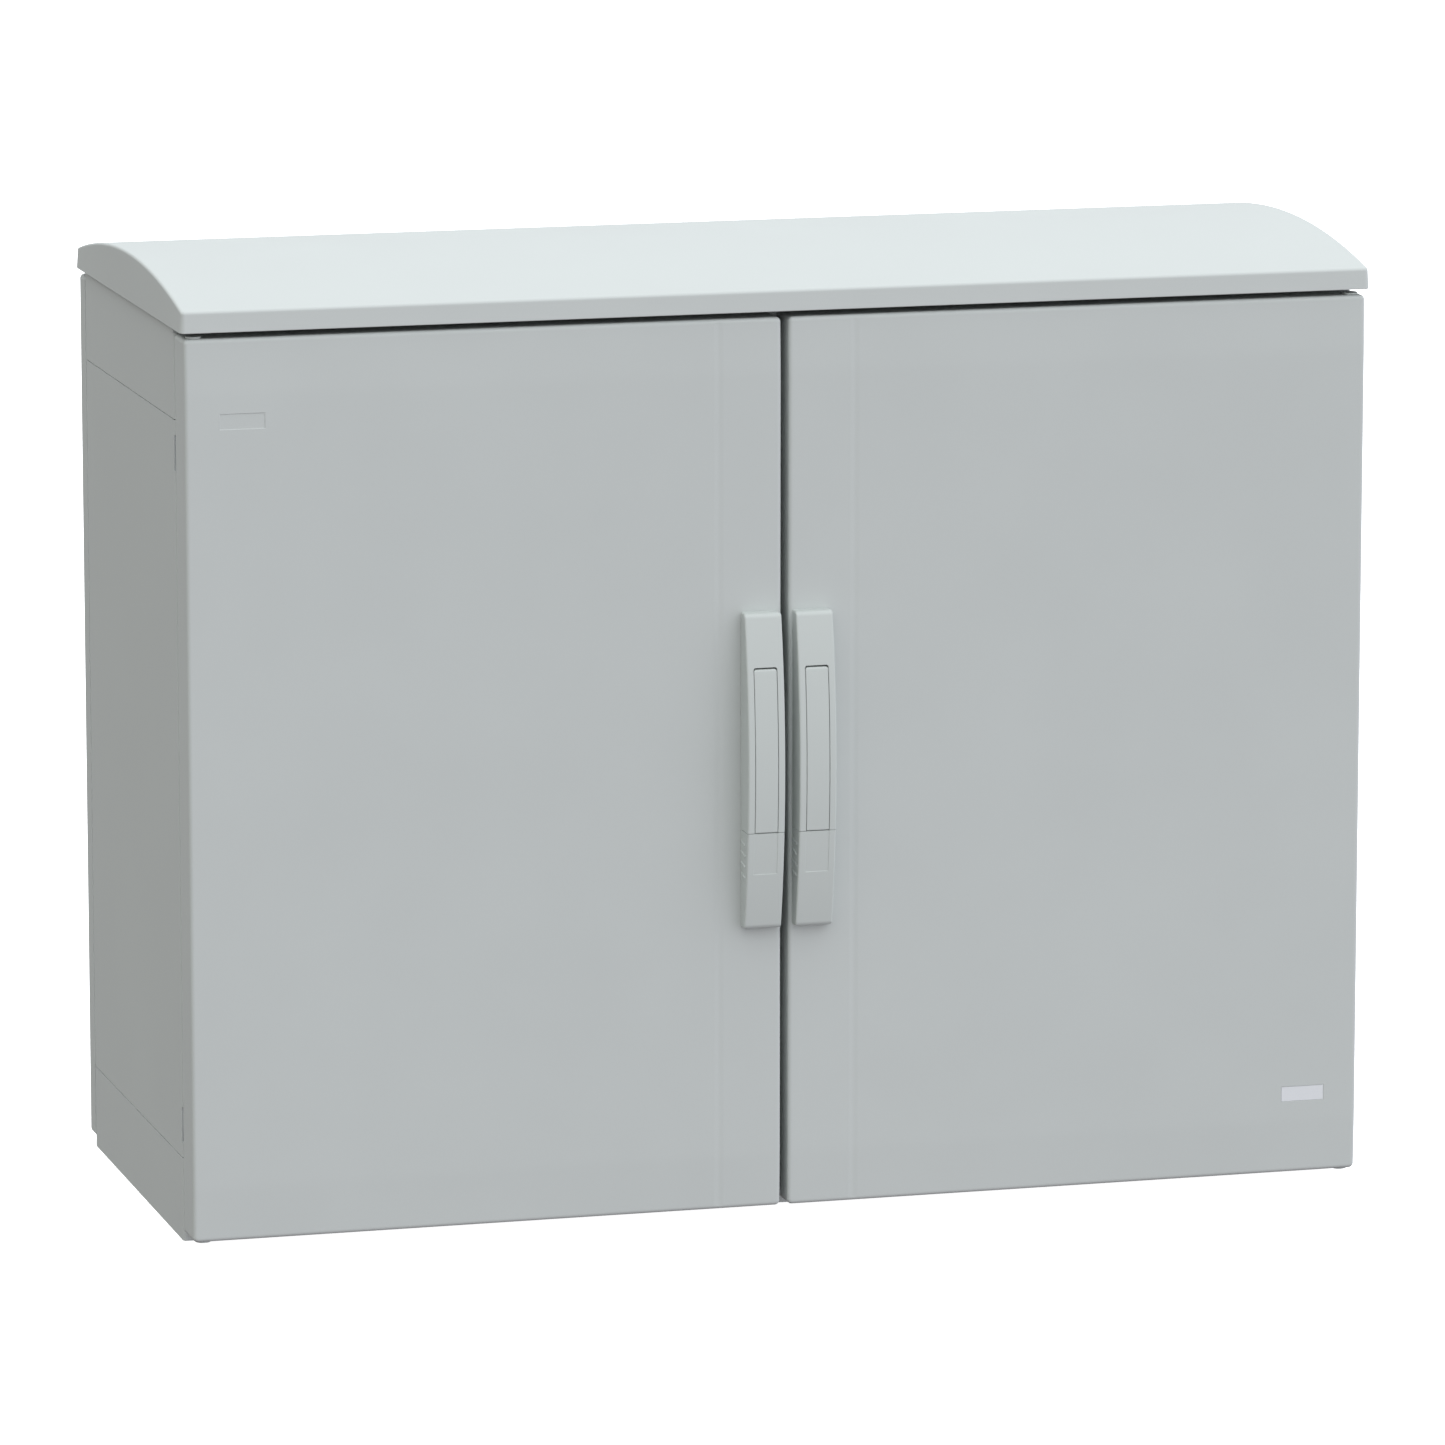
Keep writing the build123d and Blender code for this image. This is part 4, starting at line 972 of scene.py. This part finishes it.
# %% A tree that puts a screw on every point
def screw_tree(material):
    tree, given, end = geometry_tree("screws", [
        ("Sides", "NodeSocketInt", 6), ("Head Radius", "NodeSocketFloat", 5.5 * mm),
        ("Head Height", "NodeSocketFloat", 4 * mm), ("Shank Radius", "NodeSocketFloat", 3 * mm),
        ("Shank Length", "NodeSocketFloat", 12 * mm), ("Taper", "NodeSocketFloat", 0.7 * mm),
    ])

    def number(operation, a, b):
        """A sum or product of plain numbers and sockets."""
        values, links = {}, {}
        for index, item in enumerate((a, b)):
            (values if isinstance(item, (int, float)) else links)[index] = item
        return add(tree, "ShaderNodeMath", values, links, operation=operation).outputs[0]

    def lifted(mesh, height):
        """A mesh moved up by a socket's value."""
        up = add(tree, "ShaderNodeCombineXYZ", links={"Z": height})
        links = {"Geometry": mesh, "Translation": up.outputs[0]}
        return add(tree, "GeometryNodeTransform", links=links)

    collar = number("MULTIPLY", given["Head Height"], 0.2)
    body = number("SUBTRACT", number("SUBTRACT", given["Head Height"], given["Taper"]), collar)
    washer = add(tree, "GeometryNodeMeshCylinder", {"Vertices": 32},
                 {"Radius": given["Head Radius"], "Depth": collar})
    washer_up = lifted(washer.outputs["Mesh"], number("MULTIPLY", collar, 0.5))
    flats = number("MULTIPLY", given["Head Radius"], 0.93)
    head = add(tree, "GeometryNodeMeshCylinder",
               links={"Vertices": given["Sides"], "Radius": flats, "Depth": body})
    head_up = lifted(head.outputs["Mesh"], number("ADD", collar, number("MULTIPLY", body, 0.5)))
    crown = add(tree, "GeometryNodeMeshCone", links={
        "Vertices": given["Sides"], "Radius Bottom": flats, "Depth": given["Taper"],
        "Radius Top": number("SUBTRACT", flats, given["Taper"]),
    })
    crown_up = lifted(crown.outputs["Mesh"], number("ADD", collar, body))
    shank = add(tree, "GeometryNodeMeshCylinder", {"Vertices": 20},
                {"Radius": given["Shank Radius"], "Depth": given["Shank Length"]})
    shank_down = lifted(shank.outputs["Mesh"], number("MULTIPLY", given["Shank Length"], -0.5))
    whole = add(tree, "GeometryNodeJoinGeometry")
    for part in (washer_up, head_up, crown_up, shank_down):
        tree.links.new(part.outputs["Geometry"], whole.inputs["Geometry"])
    aim = add(tree, "GeometryNodeInputNamedAttribute", {"Name": "aim"}, data_type="FLOAT_VECTOR")
    turn = add(tree, "FunctionNodeAlignRotationToVector",
               links={"Vector": aim.outputs["Attribute"]}, axis="Z")
    points = add(tree, "GeometryNodeMeshToPoints", links={"Mesh": given["Geometry"]})
    set_out = add(tree, "GeometryNodeInstanceOnPoints", links={
        "Points": points.outputs["Points"], "Instance": whole.outputs["Geometry"],
        "Rotation": turn.outputs["Rotation"],
    })
    return close_tree(tree, end, set_out.outputs["Instances"], material)


screws = screw_tree(finishes["zinc_plated_steel"])


def set_screws(name, node, places, **sizes):
    """Put screws at (point under the head, direction the head looks) pairs."""
    mesh = bpy.data.meshes.new(name)
    mesh.from_pydata([p for p, _ in places], [], [])
    aims = mesh.attributes.new("aim", "FLOAT_VECTOR", "POINT")
    for i, (_, aim) in enumerate(places):
        aims.data[i].vector = aim
    piece = object_of(name, mesh)
    values = {key.replace("_", " ").title(): value for key, value in sizes.items()}
    grown(piece, screws, values, finishes["zinc_plated_steel"])
    piece.data.set_sharp_from_angle(angle=radians(35))
    install(piece, node)


# %% Set the screws out
UP, DOWN, REAR, FRONT = (0, 0, 1), (0, 0, -1), (0, 1, 0), (0, -1, 0)
rear_y = 178.5 * mm
skin_z = (70.5 * mm, 679.5 * mm)


def through_joint(xs, ys):
    """Head below and nut above, on both joints between mouldings."""
    places = []
    for z in skin_z:
        for x in xs:
            for y in ys:
                places += [((x, y, z + wall), UP), ((x, y, z - wall), DOWN)]
    return places


bolt = dict(sides=6, head_radius=5.5 * mm, head_height=4 * mm, shank_radius=3 * mm)
set_screws("joint_bolts", "frame_bolts",
           through_joint((-485.5 * mm, 485.5 * mm), (-119 * mm, 0, 119 * mm)),
           **bolt, shank_length=wall)
set_screws("post_joint_bolts", "post_bolts",
           through_joint((-29 * mm, 29 * mm), (-164.75 * mm,)), **bolt, shank_length=wall)
rear_rows = [z * mm for z in (146.625, 298.875, 451.125, 603.375)]
set_screws("rear_screw_set", "rear_panel_screws",
           [((x, rear_y - wall, z), FRONT) for x in (-487 * mm, 487 * mm) for z in rear_rows],
           **bolt, shank_length=16.6 * mm)
roof_bolt_z = 746 * mm
set_screws("canopy_screw_set", "canopy_screws",
           [((x, y, roof_bolt_z), DOWN) for x, y in boss_places], **bolt, shank_length=16 * mm)
pan = dict(sides=24, head_radius=4 * mm, head_height=2.4 * mm, shank_radius=2 * mm, taper=0.8 * mm)
hinge_screw_x, hinge_screw_y = 482 * mm, -172.5 * mm
hinge_z = [low + step for low in bracket_lows for step in (7 * mm, 21 * mm)]
for side, hand in sides:
    set_screws(f"{hand}_hinge_screw_set", f"{hand}_hinge_screws",
               [((side * hinge_screw_x, hinge_screw_y, z), REAR) for z in hinge_z],
               **pan, shank_length=6 * mm)
    x = -side * grip_x
    set_screws(f"{hand}_handle_screw_set", f"{hand}_handle_screws",
               [((x, plate_y, z), REAR) for z in (grip_low + screw_in, grip_high - screw_in)],
               **pan, shank_length=10.7 * mm)
keeper_y = -181 * mm
keeper_z = (34.5 * mm, 56.5 * mm, 693.5 * mm, 715.5 * mm)
set_screws("keeper_screw_set", "keeper_screws",
           [((x, keeper_y, z), FRONT) for x in (-grip_x, grip_x) for z in keeper_z],
           **pan, shank_length=6.5 * mm)


# %% [markdown]
# ## Softened edges
# No moulded or pressed edge is a perfect corner: a small round catches a thin line of light.
# Nearly all the remaining pieces already have the right shape, so a copy of each is welded,
# its flat faces are joined up, and a Bevel modifier rounds every hard edge.

# %% Soften a carried-over piece
def softened(node, width, segments=2, angle=30):
    """A piece in its own shape, with a small round on every edge sharper than an angle."""
    bm = bmesh.new()
    bm.from_mesh(nodes[node].data)
    bmesh.ops.remove_doubles(bm, verts=bm.verts, dist=1e-6)
    bmesh.ops.dissolve_limit(bm, angle_limit=radians(0.5), verts=bm.verts, edges=bm.edges)
    mesh = bpy.data.meshes.new(f"{node}_soft")
    bm.to_mesh(mesh)
    bm.free()
    piece = object_of(f"{node}_soft", mesh)
    bevel = piece.modifiers.new("soft edges", "BEVEL")
    bevel.width, bevel.segments, bevel.limit_method = width, segments, "ANGLE"
    bevel.angle_limit, bevel.miter_outer, bevel.harden_normals = radians(angle), "MITER_ARC", True
    bevel.use_clamp_overlap = True
    baked(piece)
    piece.data.materials.clear()
    return install(piece, node)


soft_widths = {
    "centre_post": 0.8, "rear_panel": 0.6, "rod_keepers": 0.35,
    "left_hinge_brackets": 0.5, "right_hinge_brackets": 0.5, "label_plate": 0.15,
}
for side, hand in sides:
    soft_widths.update({
        f"{hand}_rod_guides": 0.4, f"{hand}_upper_rod": 0.3, f"{hand}_lower_rod": 0.3,
        f"{hand}_lock_cam": 0.25, f"{hand}_lock_insert": 0.2, f"{hand}_side_panel": 0.15,
    })
soft_widths.update({"base_frame": 0.15, "top_frame": 0.15})
for node, width in soft_widths.items():
    softened(node, width * mm)


# %% [markdown]
# ## Studio
# The cabinet is lit by one large soft sky that is brighter overhead, on the right and a
# little in front, so each way a face can look has its own even tone. The floor is pale and
# plain, and throws no light on the cabinet.

# %% Floor
floor_half = 60.0
floor_mesh = bpy.data.meshes.new("studio_floor")
corners = [(x * floor_half, y * floor_half, 0) for x, y in ((-1, -1), (1, -1), (1, 1), (-1, 1))]
floor_mesh.from_pydata(corners, [], [(0, 1, 2, 3)])
floor = object_of("studio_floor", floor_mesh)
floor_finish, _, floor_shader = blank_material("studio floor")
floor_shader.inputs["Base Color"].default_value = (0.9, 0.9, 0.9, 1)
floor_shader.inputs["Roughness"].default_value = 1.0
floor_shader.inputs["Specular IOR Level"].default_value = 0.0
floor_shader.inputs["Emission Color"].default_value = (1, 1, 1, 1)
floor_shader.inputs["Emission Strength"].default_value = 0.9
floor_mesh.materials.append(floor_finish)
floor.visible_diffuse = False
floor.visible_glossy = False

# %% Soft sky
sky = bpy.data.worlds.new("studio sky")
bpy.context.scene.world = sky
sky.use_nodes = True
sky_tree = sky.node_tree
direction = add(sky_tree, "ShaderNodeTexCoord").outputs["Generated"]
tones = {
    "Red": (0.711, (0.184, -0.08, 0.519)),
    "Green": (0.714, (0.192, -0.08, 0.548)),
    "Blue": (0.740, (0.222, -0.08, 0.552)),
}
channels = {}
for name, (level, slope) in tones.items():
    # A face sees a soft sky's slope at two thirds of its strength.
    slope = [1.5 * s for s in slope]
    leaning = add(sky_tree, "ShaderNodeVectorMath", {1: slope}, {0: direction},
                  operation="DOT_PRODUCT")
    raised = add(sky_tree, "ShaderNodeMath", {1: level}, {0: leaning.outputs["Value"]},
                 operation="ADD")
    above_zero = add(sky_tree, "ShaderNodeMath", {1: 0.0}, {0: raised.outputs[0]},
                     operation="MAXIMUM")
    channels[name] = above_zero.outputs[0]
colour = add(sky_tree, "ShaderNodeCombineColor", links=channels)
background = sky_tree.nodes["Background"]
sky_tree.links.new(colour.outputs["Color"], background.inputs["Color"])
background.inputs["Strength"].default_value = 1.0
bpy.context.scene.view_settings.view_transform = "Standard"

# %% Camera
look_down, look_right = 10.500, 15.495
lens = bpy.data.cameras.new("camera")
lens.lens, lens.sensor_width, lens.clip_end = 224.17, 36, 300
camera = bpy.data.objects.new("camera", lens)
camera.location = (-1.9897, -7.2037, 1.7605)
camera.rotation_euler = (radians(90 - look_down), 0, radians(-look_right))
bpy.context.scene.collection.objects.link(camera)
bpy.context.scene.camera = camera
